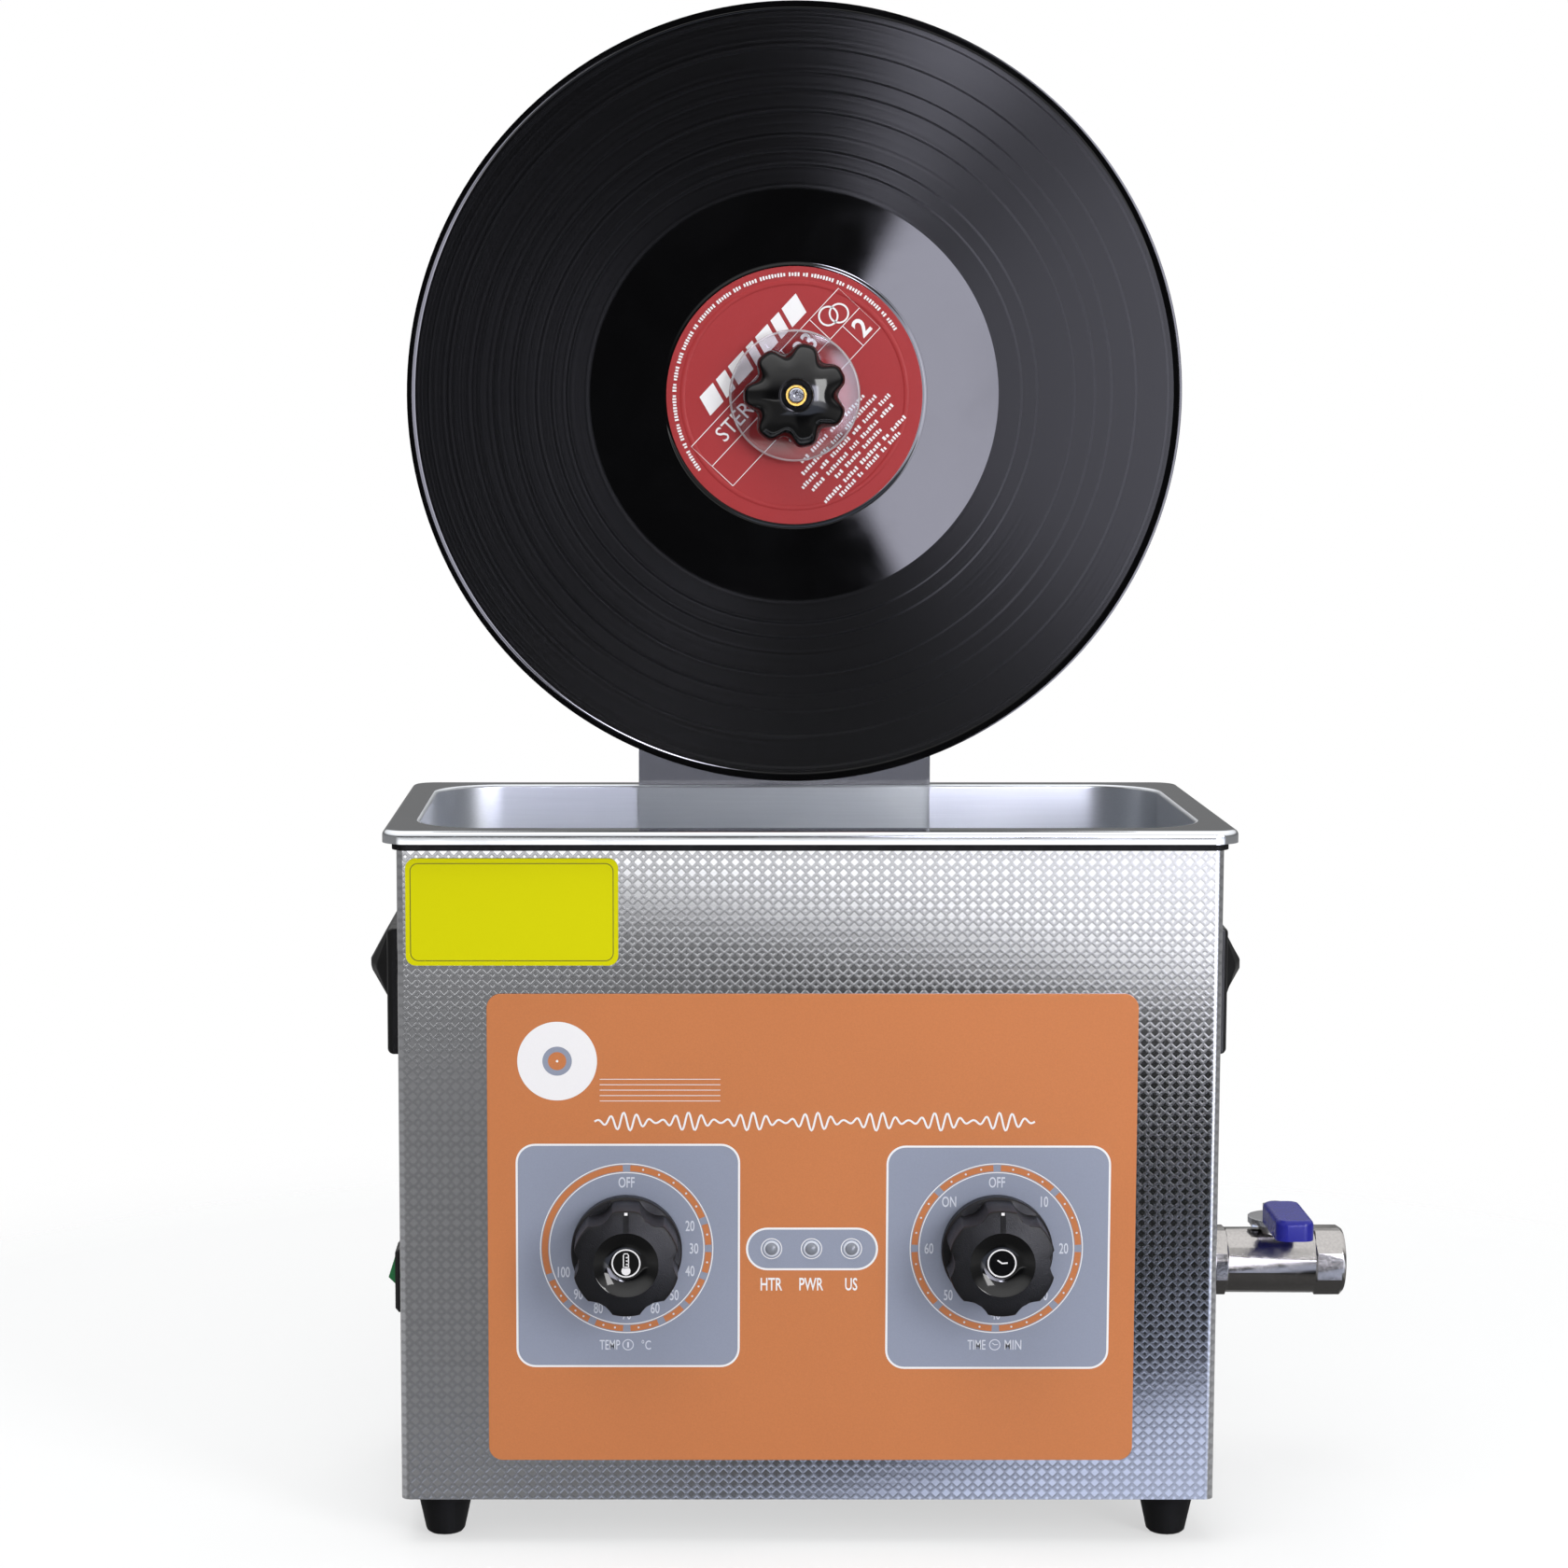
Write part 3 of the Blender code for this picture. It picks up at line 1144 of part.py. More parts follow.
def make_handle(machine, name, side):
    end = HANDLE_LENGTH / 2
    stations = [(end, HANDLE_PLATE - HANDLE_EDGE, 0), (end - HANDLE_EDGE, HANDLE_PLATE, 0)]
    for along_share, hood_share in HOOD_END_SHARES:
        stations.append((HOOD_LENGTH / 2 - along_share * HOOD_END, HANDLE_PLATE, hood_share))
    rings = [handle_ring(side, -y, plate, hood_share) for y, plate, hood_share in stations]
    rings += [handle_ring(side, y, plate, hood_share) for y, plate, hood_share in stations[::-1]]
    place = (side * SIDE_X, MIDDLE_Y, 0)
    handle = add_part(name, loft(name, rings), "black_plastic", place, machine)
    lip = HOOD_REACH - HOOD_WALL
    section = [
        (GRIP_SKIN, GRIP_BOTTOM),
        (lip, GRIP_BOTTOM),
        (lip, HOOD_RIDGE_HIGH),
        (HANDLE_PLATE, GRIP_TOP),
        (GRIP_SKIN, GRIP_TOP),
    ]
    ends = [[(side * out, y, z) for out, z in section] for y in (-GRIP_LENGTH / 2, GRIP_LENGTH / 2)]
    cut(handle, loft("finger_grip", ends), place)


# Back of the case: inlet and fan


def make_inlet(machine):
    place = (INLET_X, CASE_DEPTH, INLET_Z)
    width = INLET_WIDTH + 2 * INLET_FLANGE
    height = INLET_HEIGHT + 2 * INLET_FLANGE
    outline = rounded_rectangle(width, height, INLET_FLANGE, TIGHT_CORNER_STEPS)
    flange = flat_solid("mains_inlet", INLET_FLANGE_THICKNESS, outline)
    seat = (INLET_X, CASE_DEPTH + FIT_GAP, INLET_Z)
    inlet = add_part("mains_inlet", flange, "black_plastic", seat, machine, BACK)
    face = FIT_GAP + INLET_FLANGE_THICKNESS
    body = block("inlet_body", (INLET_WIDTH, INLET_HEIGHT, INLET_DEPTH), (0, 0, (face - INLET_DEPTH) / 2))
    join(inlet, body, place, BACK)
    mouth = face + OVERRUN
    floor = face - INLET_CAVITY
    cavity = (INLET_WIDTH - 2 * INLET_WALL, INLET_HEIGHT - 2 * INLET_WALL, mouth - floor)
    cut(inlet, block("inlet_cavity", cavity, (0, 0, (mouth + floor) / 2)), place, BACK)
    root = floor - INLET_WALL
    tip = floor + INLET_PIN_LENGTH
    for step in (-1, 0, 1):
        rise = INLET_PIN_STEP if step else -INLET_PIN_STEP
        centre = (step * INLET_PIN_SPREAD, rise, (root + tip) / 2)
        pin = block("inlet_pin", (INLET_PIN_WIDTH, INLET_PIN_HEIGHT, tip - root), centre)
        join(inlet, pin, place, BACK)


def make_fan(machine):
    """A fan on the inside of the case's back, with its motor on struts at the open end."""
    place = (FAN_X, CASE_DEPTH - CASE_SHEET - FIT_GAP, FAN_Z)
    outline = rounded_rectangle(FAN_SIZE, FAN_SIZE, FAN_CORNER, TIGHT_CORNER_STEPS)
    shroud = flat_solid("fan_frame", FAN_DEPTH, outline, circle(FAN_HOLE_RADIUS, LARGE_SIDES))
    frame = add_part("fan_frame", shroud, "black_plastic", place, machine, FRONT)
    strut_start = FAN_DEPTH - FAN_STRUT_THICKNESS
    strut_middle = FAN_DEPTH - FAN_STRUT_THICKNESS / 2
    span = 2 * FAN_HOLE_RADIUS + FAN_STRUT_WIDTH
    join(frame, rod("fan_motor", FAN_MOTOR_RADIUS, strut_start, FAN_DEPTH), place, FRONT)
    for width, height in ((span, FAN_STRUT_WIDTH), (FAN_STRUT_WIDTH, span)):
        strut = block("fan_strut", (width, height, FAN_STRUT_THICKNESS), (0, 0, strut_middle))
        join(frame, strut, place, FRONT)

    hub_top = strut_start - FIT_GAP
    hub_middle = hub_top - FAN_HUB_HEIGHT / 2
    axis = new_axis("fan_rotor_axis", place, machine)
    hub = rod("fan_rotor", FAN_HUB_RADIUS, hub_top - FAN_HUB_HEIGHT, hub_top)
    rotor = add_part("fan_rotor", hub, "black_plastic", (0, 0, 0), axis, FRONT)
    size = (FAN_BLADE_TIP - FAN_BLADE_ROOT, FAN_BLADE_CHORD, FAN_BLADE_THICKNESS)
    for index in range(FAN_BLADE_COUNT):
        bm = bmesh.new()
        round_hub = Matrix.Rotation(math.tau * index / FAN_BLADE_COUNT, 4, "Z")
        out = Matrix.Translation(((FAN_BLADE_ROOT + FAN_BLADE_TIP) / 2, 0, hub_middle))
        pitch = Matrix.Rotation(FAN_BLADE_PITCH, 4, "X")
        bmesh.ops.create_cube(bm, size=1, matrix=round_hub @ out @ pitch @ Matrix.Diagonal((*size, 1)))
        join(rotor, mesh_of(bm, "fan_blade"), facing=FRONT)


# On the base plate


def make_electronics(machine):
    post_bottom = BASE_TOP + FIT_GAP
    board_bottom = post_bottom + BOARD_POST_HEIGHT
    place = (BOARD_X, BOARD_Y, 0)
    middle = (0, 0, board_bottom + BOARD_THICKNESS / 2)
    plate = block("generator_board", (BOARD_WIDTH, BOARD_BREADTH, BOARD_THICKNESS), middle)
    board = add_part("generator_board", plate, "green_board", place, machine)
    post_top = board_bottom + BOARD_THICKNESS / 2
    post = rod("board_post", BOARD_POST_RADIUS, post_bottom, post_top, SMALL_SIDES)
    for side_x in (-1, 1):
        for side_y in (-1, 1):
            x = BOARD_X + side_x * (BOARD_WIDTH / 2 - BOARD_POST_INSET)
            y = BOARD_Y + side_y * (BOARD_BREADTH / 2 - BOARD_POST_INSET)
            join(board, post, (x, y, 0))

    pitch = (SINK_WIDTH - SINK_FIN) / (SINK_FIN_COUNT - 1)
    comb = [(-SINK_WIDTH / 2, 0), (SINK_WIDTH / 2, 0)]
    for index in reversed(range(SINK_FIN_COUNT)):
        left = -SINK_WIDTH / 2 + index * pitch
        comb += [(left + SINK_FIN, SINK_HEIGHT), (left, SINK_HEIGHT)]
        if index:
            comb += [(left, SINK_BASE), (left - pitch + SINK_FIN, SINK_BASE)]
    sink_place = (SINK_X, BOARD_Y + SINK_BREADTH / 2, board_bottom + BOARD_THICKNESS + FIT_GAP)
    fins = flat_solid("heat_sink", SINK_BREADTH, comb)
    add_part("heat_sink", fins, "aluminium", sink_place, machine, FRONT)

    half = TRANSFORMER_HEIGHT / 2
    flat = half - TRANSFORMER_ROUND
    section = [
        (TRANSFORMER_HOLE_RADIUS, half),
        (TRANSFORMER_RADIUS - TRANSFORMER_ROUND, half),
        (TRANSFORMER_RADIUS, flat),
        (TRANSFORMER_RADIUS, -flat),
        (TRANSFORMER_RADIUS - TRANSFORMER_ROUND, -half),
        (TRANSFORMER_HOLE_RADIUS, -half),
    ]
    core_place = (TRANSFORMER_X, TRANSFORMER_Y, post_bottom + half)
    core = add_part("transformer", profile("transformer", section), "copper_winding", core_place, machine)
    turn(core, ROUND_SIDES)


# Record stand


def stand_plate(machine, name, back, bottom, *holes):
    height = STAND_TOP - bottom
    outline = rounded_rectangle(STAND_WIDTH, height, STAND_CORNER, middle_y=bottom + height / 2)
    slot = upright_slot(SLOT_WIDTH, SLOT_BOTTOM, SLOT_TOP)
    sheet = flat_solid(name, STAND_SHEET, outline, slot, *holes)
    add_part(name, sheet, "clear_acrylic", (STAND_X, back, 0), machine, FRONT)


def make_stand(machine):
    stand_plate(machine, "stand_inner_plate", INNER_PLATE_BACK, RIM_TOP - STAND_IN_TANK)
    screw_sides = {"stand_screw_left": -STAND_SCREW_SPREAD, "stand_screw_right": STAND_SCREW_SPREAD}
    hole = STUD_RADIUS + FIT_GAP
    holes = [circle(hole, STUD_SIDES, (x, STAND_SCREW_Z)) for x in screw_sides.values()]
    stand_plate(machine, "stand_outer_plate", OUTER_PLATE_BACK, RIM_TOP - STAND_BEHIND, *holes)
    bridge = block("stand_bridge", (STAND_WIDTH, BETWEEN_TO - BETWEEN_FROM, BRIDGE_HEIGHT))
    place = (STAND_X, (BETWEEN_FROM + BETWEEN_TO) / 2, RIM_TOP + FIT_GAP + BRIDGE_HEIGHT / 2)
    add_part("stand_bridge", bridge, "clear_acrylic", place, machine)

    tip = CASE_DEPTH + FIT_GAP
    head = OUTER_PLATE_BACK - tip + STAND_SCREW_CLEARANCE
    head_end = head + STAND_SCREW_HEAD
    radius = STAND_SCREW_HEAD_RADIUS
    valley = radius - KNURL_DEPTH
    for name, x in screw_sides.items():
        axis = new_axis(f"{name}_axis", (STAND_X + x, tip, STAND_SCREW_Z), machine)
        grip = lobed_grip(name, radius, valley, KNURL_COUNT, 2 * KNURL_COUNT, head, head_end)
        screw = add_part(name, grip, "black_plastic", (0, 0, 0), axis, BACK)
        join(screw, rod("screw_stud", STUD_RADIUS, 0, (head + head_end) / 2, STUD_SIDES), facing=BACK)


def make_carriage(lift):
    """A block between the plates. Its boss runs in their slots, and the spindle turns inside the boss."""
    height = CARRIAGE_BELOW + CARRIAGE_ABOVE
    middle = (CARRIAGE_ABOVE - CARRIAGE_BELOW) / 2
    outline = rounded_rectangle(CARRIAGE_WIDTH, height, CARRIAGE_CORNER, TIGHT_CORNER_STEPS, middle)
    plate = flat_solid("lift_carriage", BETWEEN_TO - BETWEEN_FROM, outline)
    carriage = add_part("lift_carriage", plate, "black_plastic", (0, BETWEEN_TO, 0), lift, FRONT)
    boss_end = OUTER_PLATE_BACK - BOSS_START_Y
    front = (0, BOSS_START_Y, 0)
    join(carriage, rod("carriage_boss", BOSS_RADIUS, 0, boss_end, LARGE_SIDES), front, BACK)
    bore = STUD_RADIUS + FIT_GAP
    cut(carriage, rod("spindle_bore", bore, -OVERRUN, boss_end + OVERRUN), front, BACK)
    room_start = COUPLING_FRONT - FIT_GAP - BOSS_START_Y
    room = rod("coupling_room", COUPLING_RADIUS + FIT_GAP, room_start, boss_end + OVERRUN)
    cut(carriage, room, front, BACK)
    stud_hole = rod("clamp_hole", bore, -OVERRUN, CLAMP_STUD_DEPTH + FIT_GAP, STUD_SIDES)
    cut(carriage, stud_hole, (0, BETWEEN_TO, CLAMP_RISE), FRONT)


def make_clamp_knob(lift):
    """It clamps the carriage to the outer plate."""
    axis = new_axis("lift_clamp_knob_axis", (0, BETWEEN_TO, CLAMP_RISE), lift)
    seat = HOUSING_Y - BETWEEN_TO
    grip_start = seat + CLAMP_FLANGE
    grip_end = grip_start + CLAMP_KNOB_HEIGHT
    name = "lift_clamp_knob"
    lobes = CLAMP_KNOB_LOBES
    segments = lobes * CLAMP_KNOB_LOBE_SEGMENTS
    radius = CLAMP_KNOB_RADIUS
    valley = CLAMP_KNOB_VALLEY
    grip = lobed_grip(name, radius, valley, lobes, segments, grip_start, grip_end)
    knob = add_part(name, grip, "black_plastic", (0, 0, 0), axis, BACK)
    join(knob, rod("clamp_flange", CLAMP_FLANGE_RADIUS, seat, grip_start + CLAMP_FLANGE), facing=BACK)
    join(knob, rod("clamp_stud", STUD_RADIUS, -CLAMP_STUD_DEPTH, grip_start, STUD_SIDES), facing=BACK)


def make_motor(lift):
    """The motor's square flange sits on the carriage's boss, and its housing slips over the flange."""
    place = (0, HOUSING_Y, 0)
    steps = TIGHT_CORNER_STEPS
    outline = rounded_rectangle(HOUSING_SIZE, HOUSING_SIZE, HOUSING_CORNER, steps)
    box = flat_solid("motor_housing", HOUSING_LENGTH, outline)
    housing = add_part("motor_housing", box, "black_plastic", place, lift, BACK)
    room_size = HOUSING_SIZE - 2 * HOUSING_WALL
    room_corner = HOUSING_CORNER - HOUSING_WALL
    room_length = HOUSING_LENGTH - HOUSING_WALL + OVERRUN
    room_outline = rounded_rectangle(room_size, room_size, room_corner, steps)
    room = flat_solid("housing_room", room_length, room_outline)
    cut(housing, room, (0, HOUSING_Y - OVERRUN, 0), BACK)

    flange_size = room_size - 2 * FIT_GAP
    flange_outline = rounded_rectangle(flange_size, flange_size, room_corner, steps)
    flange = flat_solid("gear_motor", MOTOR_FLANGE, flange_outline)
    motor = add_part("gear_motor", flange, "bright_steel", place, lift, BACK)
    barrel_end = MOTOR_FLANGE + MOTOR_LENGTH
    join(motor, rod("motor_barrel", MOTOR_RADIUS, MOTOR_FLANGE / 2, barrel_end, LARGE_SIDES), place, BACK)
    bore_end = MOTOR_SHAFT_DEPTH + FIT_GAP
    cut(motor, rod("shaft_bore", STUD_RADIUS + FIT_GAP, -OVERRUN, bore_end), place, BACK)

    socket_place = (HOUSING_SIZE / 2, HOUSING_Y + HOUSING_LENGTH / 2, 0)
    hole = rod("socket_hole", SOCKET_BARREL_RADIUS + FIT_GAP, -HOUSING_WALL - OVERRUN, OVERRUN)
    cut(housing, hole, socket_place, RIGHT)
    section = [
        (0, SOCKET_RISE - SOCKET_PIN_INSET),
        (SOCKET_PIN_RADIUS, SOCKET_RISE - SOCKET_PIN_INSET),
        (SOCKET_PIN_RADIUS, SOCKET_PIN_INSET - SOCKET_INSIDE),
        (SOCKET_BORE_RADIUS, SOCKET_PIN_INSET - SOCKET_INSIDE),
        (SOCKET_BORE_RADIUS, SOCKET_RISE),
        (SOCKET_RADIUS, SOCKET_RISE),
        (SOCKET_RADIUS, FIT_GAP),
        (SOCKET_BARREL_RADIUS, FIT_GAP),
        (SOCKET_BARREL_RADIUS, -SOCKET_INSIDE),
        (0, -SOCKET_INSIDE),
    ]
    barrel = profile("power_socket", section)
    turn(add_part("power_socket", barrel, "black_plastic", socket_place, lift, RIGHT), SMALL_SIDES)


# Spindle, records and clamp: they turn together, and ride on the lift


def make_spindle(axis):
    front = STAR_RECESS_Y - SPINDLE_END_RISE
    end = COUPLING_FRONT + COUPLING_GRIP
    flange_back = FLANGE_FRONT + SPINDLE_FLANGE
    section = [
        (0, end),
        (STUD_RADIUS, end),
        (STUD_RADIUS, flange_back),
        (SPINDLE_FLANGE_RADIUS, flange_back),
        (SPINDLE_FLANGE_RADIUS, FLANGE_FRONT),
        (STUD_RADIUS, FLANGE_FRONT),
        (STUD_RADIUS, front + SPINDLE_CHAMFER),
        (STUD_RADIUS - SPINDLE_CHAMFER, front),
        (0, front),
    ]
    spindle = profile("spindle", section)
    turn(add_part("spindle", spindle, "bright_steel", (0, 0, 0), axis, BACK), STUD_SIDES)

    shaft_end = HOUSING_Y + MOTOR_SHAFT_DEPTH
    socket_end = end + FIT_GAP
    section = [
        (0, shaft_end),
        (STUD_RADIUS, shaft_end),
        (STUD_RADIUS, COUPLING_BACK),
        (COUPLING_RADIUS, COUPLING_BACK),
        (COUPLING_RADIUS, COUPLING_FRONT),
        (STUD_RADIUS + FIT_GAP, COUPLING_FRONT),
        (STUD_RADIUS + FIT_GAP, socket_end),
        (0, socket_end),
    ]
    coupling = profile("spindle_coupling", section)
    turn(add_part("spindle_coupling", coupling, "aluminium", (0, 0, 0), axis, BACK), STUD_SIDES)


def make_records(axis):
    """Each record has a thick label, a thinner grooved band and a raised edge, alike on both faces."""
    groove = RECORD_GROOVE_THICKNESS / 2
    edge = RECORD_EDGE_THICKNESS / 2
    bead = RECORD_RADIUS - RECORD_EDGE_WIDTH
    half = [
        (RECORD_HOLE_RADIUS, LABEL_HALF),
        (RECORD_LABEL_RADIUS, LABEL_HALF),
        (RECORD_LABEL_RADIUS + RECORD_STEP, groove),
        (bead, groove),
        (bead + RECORD_STEP, edge),
        (RECORD_RADIUS, edge / 2),
    ]
    section = half + [(radius, -height) for radius, height in half[::-1]]
    record = profile("record", section)
    for name, y in (("record_front", RECORD_Y), ("record_rear", REAR_RECORD_Y)):
        turn(add_part(name, record, "black_vinyl", (0, y, 0), axis, BACK), RECORD_SEGMENTS)


def make_washer(axis, name, finish, radius, front, back, sides):
    """A round plate on the spindle, with both outer edges chamfered."""
    bore = STUD_RADIUS + FIT_GAP
    chamfer = min(DISC_CHAMFER, (back - front) * WASHER_EDGE_SHARE)
    section = [
        (bore, back),
        (radius - chamfer, back),
        (radius, back - chamfer),
        (radius, front + chamfer),
        (radius - chamfer, front),
        (bore, front),
    ]
    turn(add_part(name, profile(name, section), finish, (0, 0, 0), axis, BACK), sides)


def make_star_knob(axis):
    """Seven lobes, one of them to the left, under a dome with a recess for the spindle's end."""
    lobes = STAR_LOBES
    segments = STAR_SEGMENTS
    lobe = STAR_RADIUS - STAR_VALLEY
    dome_valley = STAR_DOME_RADIUS - lobe / 2
    back_radius = STAR_RADIUS - STAR_BACK_ROUND
    rings = [
        lobed_ring(back_radius, STAR_VALLEY - STAR_BACK_ROUND, lobes, 0, segments),
        lobed_ring(STAR_RADIUS, STAR_VALLEY, lobes, STAR_BACK_ROUND, segments),
        lobed_ring(STAR_RADIUS, STAR_VALLEY, lobes, STAR_SHOULDER_HEIGHT, segments),
        lobed_ring(STAR_DOME_RADIUS, dome_valley, lobes, STAR_DOME_HEIGHT, segments),
        lobed_ring(STAR_CROWN_RADIUS, STAR_CROWN_RADIUS, lobes, STAR_HEIGHT, segments),
    ]
    turned = (FRONT[0], math.pi, 0)
    place = (0, STAR_BACK, 0)
    star = add_part("star_knob", loft("star_knob", rings), "gloss_black", place, axis, turned)
    recess_floor = STAR_HEIGHT - STAR_RECESS_DEPTH
    recess_end = STAR_HEIGHT + OVERRUN
    cut(star, rod("star_recess", STAR_RECESS_RADIUS, recess_floor, recess_end, LARGE_SIDES), place, FRONT)
    cut(star, rod("star_bore", INSERT_RADIUS + FIT_GAP, -OVERRUN, STAR_HEIGHT), place, FRONT)
    insert_front = STAR_RECESS_Y - INSERT_RISE
    make_washer(axis, "star_knob_insert", "brass", INSERT_RADIUS, insert_front, STAR_BACK, STUD_SIDES)


def make_spinner(lift):
    axis = new_axis("spindle_axis", (0, 0, 0), lift)
    make_spindle(axis)
    make_records(axis)
    spacer_front = RECORD_Y + LABEL_HALF + FIT_GAP
    spacer_back = REAR_RECORD_Y - LABEL_HALF - FIT_GAP
    make_washer(axis, "record_spacer", "black_plastic", SPACER_RADIUS, spacer_front, spacer_back, LARGE_SIDES)
    discs = {"rear_clamp_disc": REAR_DISC_FRONT, "front_clamp_disc": FRONT_DISC_BACK - DISC_THICKNESS}
    for name, front in discs.items():
        make_washer(axis, name, "clear_acrylic", DISC_RADIUS, front, front + DISC_THICKNESS, LARGE_SIDES)
    washer_front = WASHER_BACK - WASHER_THICKNESS
    make_washer(axis, "front_washer", "bright_steel", WASHER_RADIUS, washer_front, WASHER_BACK, ROUND_SIDES)
    star_axis = new_axis("star_knob_axis", (0, 0, 0), axis)
    make_star_knob(star_axis)


def make_machine():
    machine = new_axis("machine", -ORIGIN, None)
    make_case(machine)
    make_base(machine)
    make_feet(machine)
    make_tank(machine)
    make_gasket(machine)
    make_transducers(machine)
    make_heater(machine)
    make_drain_pipe(machine)
    make_valve_body(machine)
    make_lever(machine)
    make_front(machine)
    make_controls(machine)
    make_lamps(machine)
    make_switch(machine)
    make_handle(machine, "handle_left", -1)
    make_handle(machine, "handle_right", 1)
    make_inlet(machine)
    make_fan(machine)
    make_electronics(machine)
    make_stand(machine)
    lift = new_axis("lift_axis", (STAND_X, 0, SPINDLE_Z), machine)
    make_carriage(lift)
    make_clamp_knob(lift)
    make_motor(lift)
    make_spinner(lift)


make_machine()
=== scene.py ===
# %% [markdown]
# A record cleaning bath, dressed for its picture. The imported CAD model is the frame: it gives every
# place, and this lesson puts finer surfaces and finishes on it. A look could be painted on with
# pictures, but meshes and node materials stay sharp from every side, so this lesson builds both.

# %% Load the frame
import math

import bmesh
import bpy
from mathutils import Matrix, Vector


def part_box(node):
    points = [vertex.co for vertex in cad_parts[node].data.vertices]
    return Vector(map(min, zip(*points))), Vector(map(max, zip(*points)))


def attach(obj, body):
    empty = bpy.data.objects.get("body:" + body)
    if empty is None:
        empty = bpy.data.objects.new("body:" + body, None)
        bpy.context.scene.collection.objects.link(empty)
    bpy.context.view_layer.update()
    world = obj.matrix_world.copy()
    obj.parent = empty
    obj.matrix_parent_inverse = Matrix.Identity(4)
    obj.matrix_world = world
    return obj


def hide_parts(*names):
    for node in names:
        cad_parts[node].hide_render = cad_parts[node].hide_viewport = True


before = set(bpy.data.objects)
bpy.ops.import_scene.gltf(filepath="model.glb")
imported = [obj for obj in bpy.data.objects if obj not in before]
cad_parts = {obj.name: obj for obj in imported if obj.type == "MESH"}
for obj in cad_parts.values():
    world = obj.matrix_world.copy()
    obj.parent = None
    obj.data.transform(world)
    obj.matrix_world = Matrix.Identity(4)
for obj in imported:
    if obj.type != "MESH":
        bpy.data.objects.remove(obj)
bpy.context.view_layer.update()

# %% [markdown]
# Sizes on this bath are thought of in millimetres, measured from the middle of the case's front
# face. The frame could be read node by node, but one helper that turns such a place into the
# frame's metres keeps all later cells short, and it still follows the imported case.

# %% Measure from the case
MM = 0.001
case_low, case_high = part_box("case_shell")
MIDDLE_X = (case_low.x + case_high.x) / 2
FRONT_Y = case_low.y
Y, Z = Vector((0, 1, 0)), Vector((0, 0, 1))


def at(x, y, z):
    """A place in millimetres from the foot of the case's front middle, in the frame's metres."""
    return Vector((MIDDLE_X + x * MM, FRONT_Y + y * MM, z * MM))


def middle(node):
    """The middle of a CAD node's box."""
    low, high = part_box(node)
    return (low + high) / 2


print("case front at y", round(FRONT_Y, 4), "middle at x", round(MIDDLE_X, 4))

# %% [markdown]
# The camera stands where the photographer stood: a little left of the middle and above the rim,
# looking slightly down. It could be turned towards the product, but the upright edges of the case
# stay parallel in the picture, so the lens is shifted sideways instead of the camera being turned.

# %% Place the camera
SENSOR = 36
LENS = 81.5
PITCH = math.radians(6.656)
camera_data = bpy.data.cameras.new("product_camera")
camera_data.sensor_width = SENSOR
camera_data.lens = LENS
camera_data.shift_x = 0.0752
camera_data.shift_y = 0.025
camera = bpy.data.objects.new("product_camera", camera_data)
camera.location = at(-54.7, -1333.1, 436.85)
camera.rotation_euler = (math.pi / 2 - PITCH, 0, 0)
bpy.context.scene.collection.objects.link(camera)
bpy.context.scene.camera = camera
bpy.context.scene.view_settings.view_transform = "Standard"
print("camera at", [round(v, 3) for v in camera.location])

# %% [markdown]
# Every material below is a small net of nodes. They could be wired one by one, but two helpers do
# it in a line each: one places a node with its settings, the other is the same for sums.

# %% Helpers for nodes
def put(tree, kind, inputs=None, **settings):
    """Places a node; an input that is a socket is linked, any other value is set."""
    made = tree.nodes.new(kind)
    for name, value in settings.items():
        setattr(made, name, value)
    for name, value in (inputs or {}).items():
        if isinstance(value, bpy.types.NodeSocket):
            tree.links.new(value, made.inputs[name])
        else:
            made.inputs[name].default_value = value
    return made


def sums(tree, operation, *values):
    """One step of arithmetic."""
    return put(tree, "ShaderNodeMath", dict(enumerate(values)), operation=operation).outputs[0]


def spread(tree, value, low, high, to_low=0.0, to_high=1.0, kind="SMOOTHSTEP"):
    """Turns a range of values into another, softly."""
    inputs = {"Value": value, "From Min": low, "From Max": high, "To Min": to_low, "To Max": to_high}
    return put(tree, "ShaderNodeMapRange", inputs, interpolation_type=kind).outputs["Result"]


def tones(tree, value, stops):
    """A ramp of grey tones at their places from 0 to 1."""
    ramp = put(tree, "ShaderNodeValToRGB", {"Fac": value})
    elements = ramp.color_ramp.elements
    for place, tone in stops:
        element = {0.0: elements[0], 1.0: elements[-1]}.get(place) or elements.new(place)
        element.color = (tone, tone, tone, 1)
    return ramp.outputs["Color"]


def colour(red, green, blue):
    """A colour as seen on a screen, 0 to 255, as the linear values that Blender mixes."""
    linear = [((v / 255 + 0.055) / 1.055) ** 2.4 if v > 10 else v / 255 / 12.92 for v in (red, green, blue)]
    return (*linear, 1)


print("helpers for nodes ready")

# %% [markdown]
# The room is a plain studio: white all round the camera's view, and a drawn room for the steel to
# mirror. A mirror-like sheet is only as good as what it mirrors. Big cards could be set up for
# each tone, but a ramp along the height of the view gives the same bands without objects.

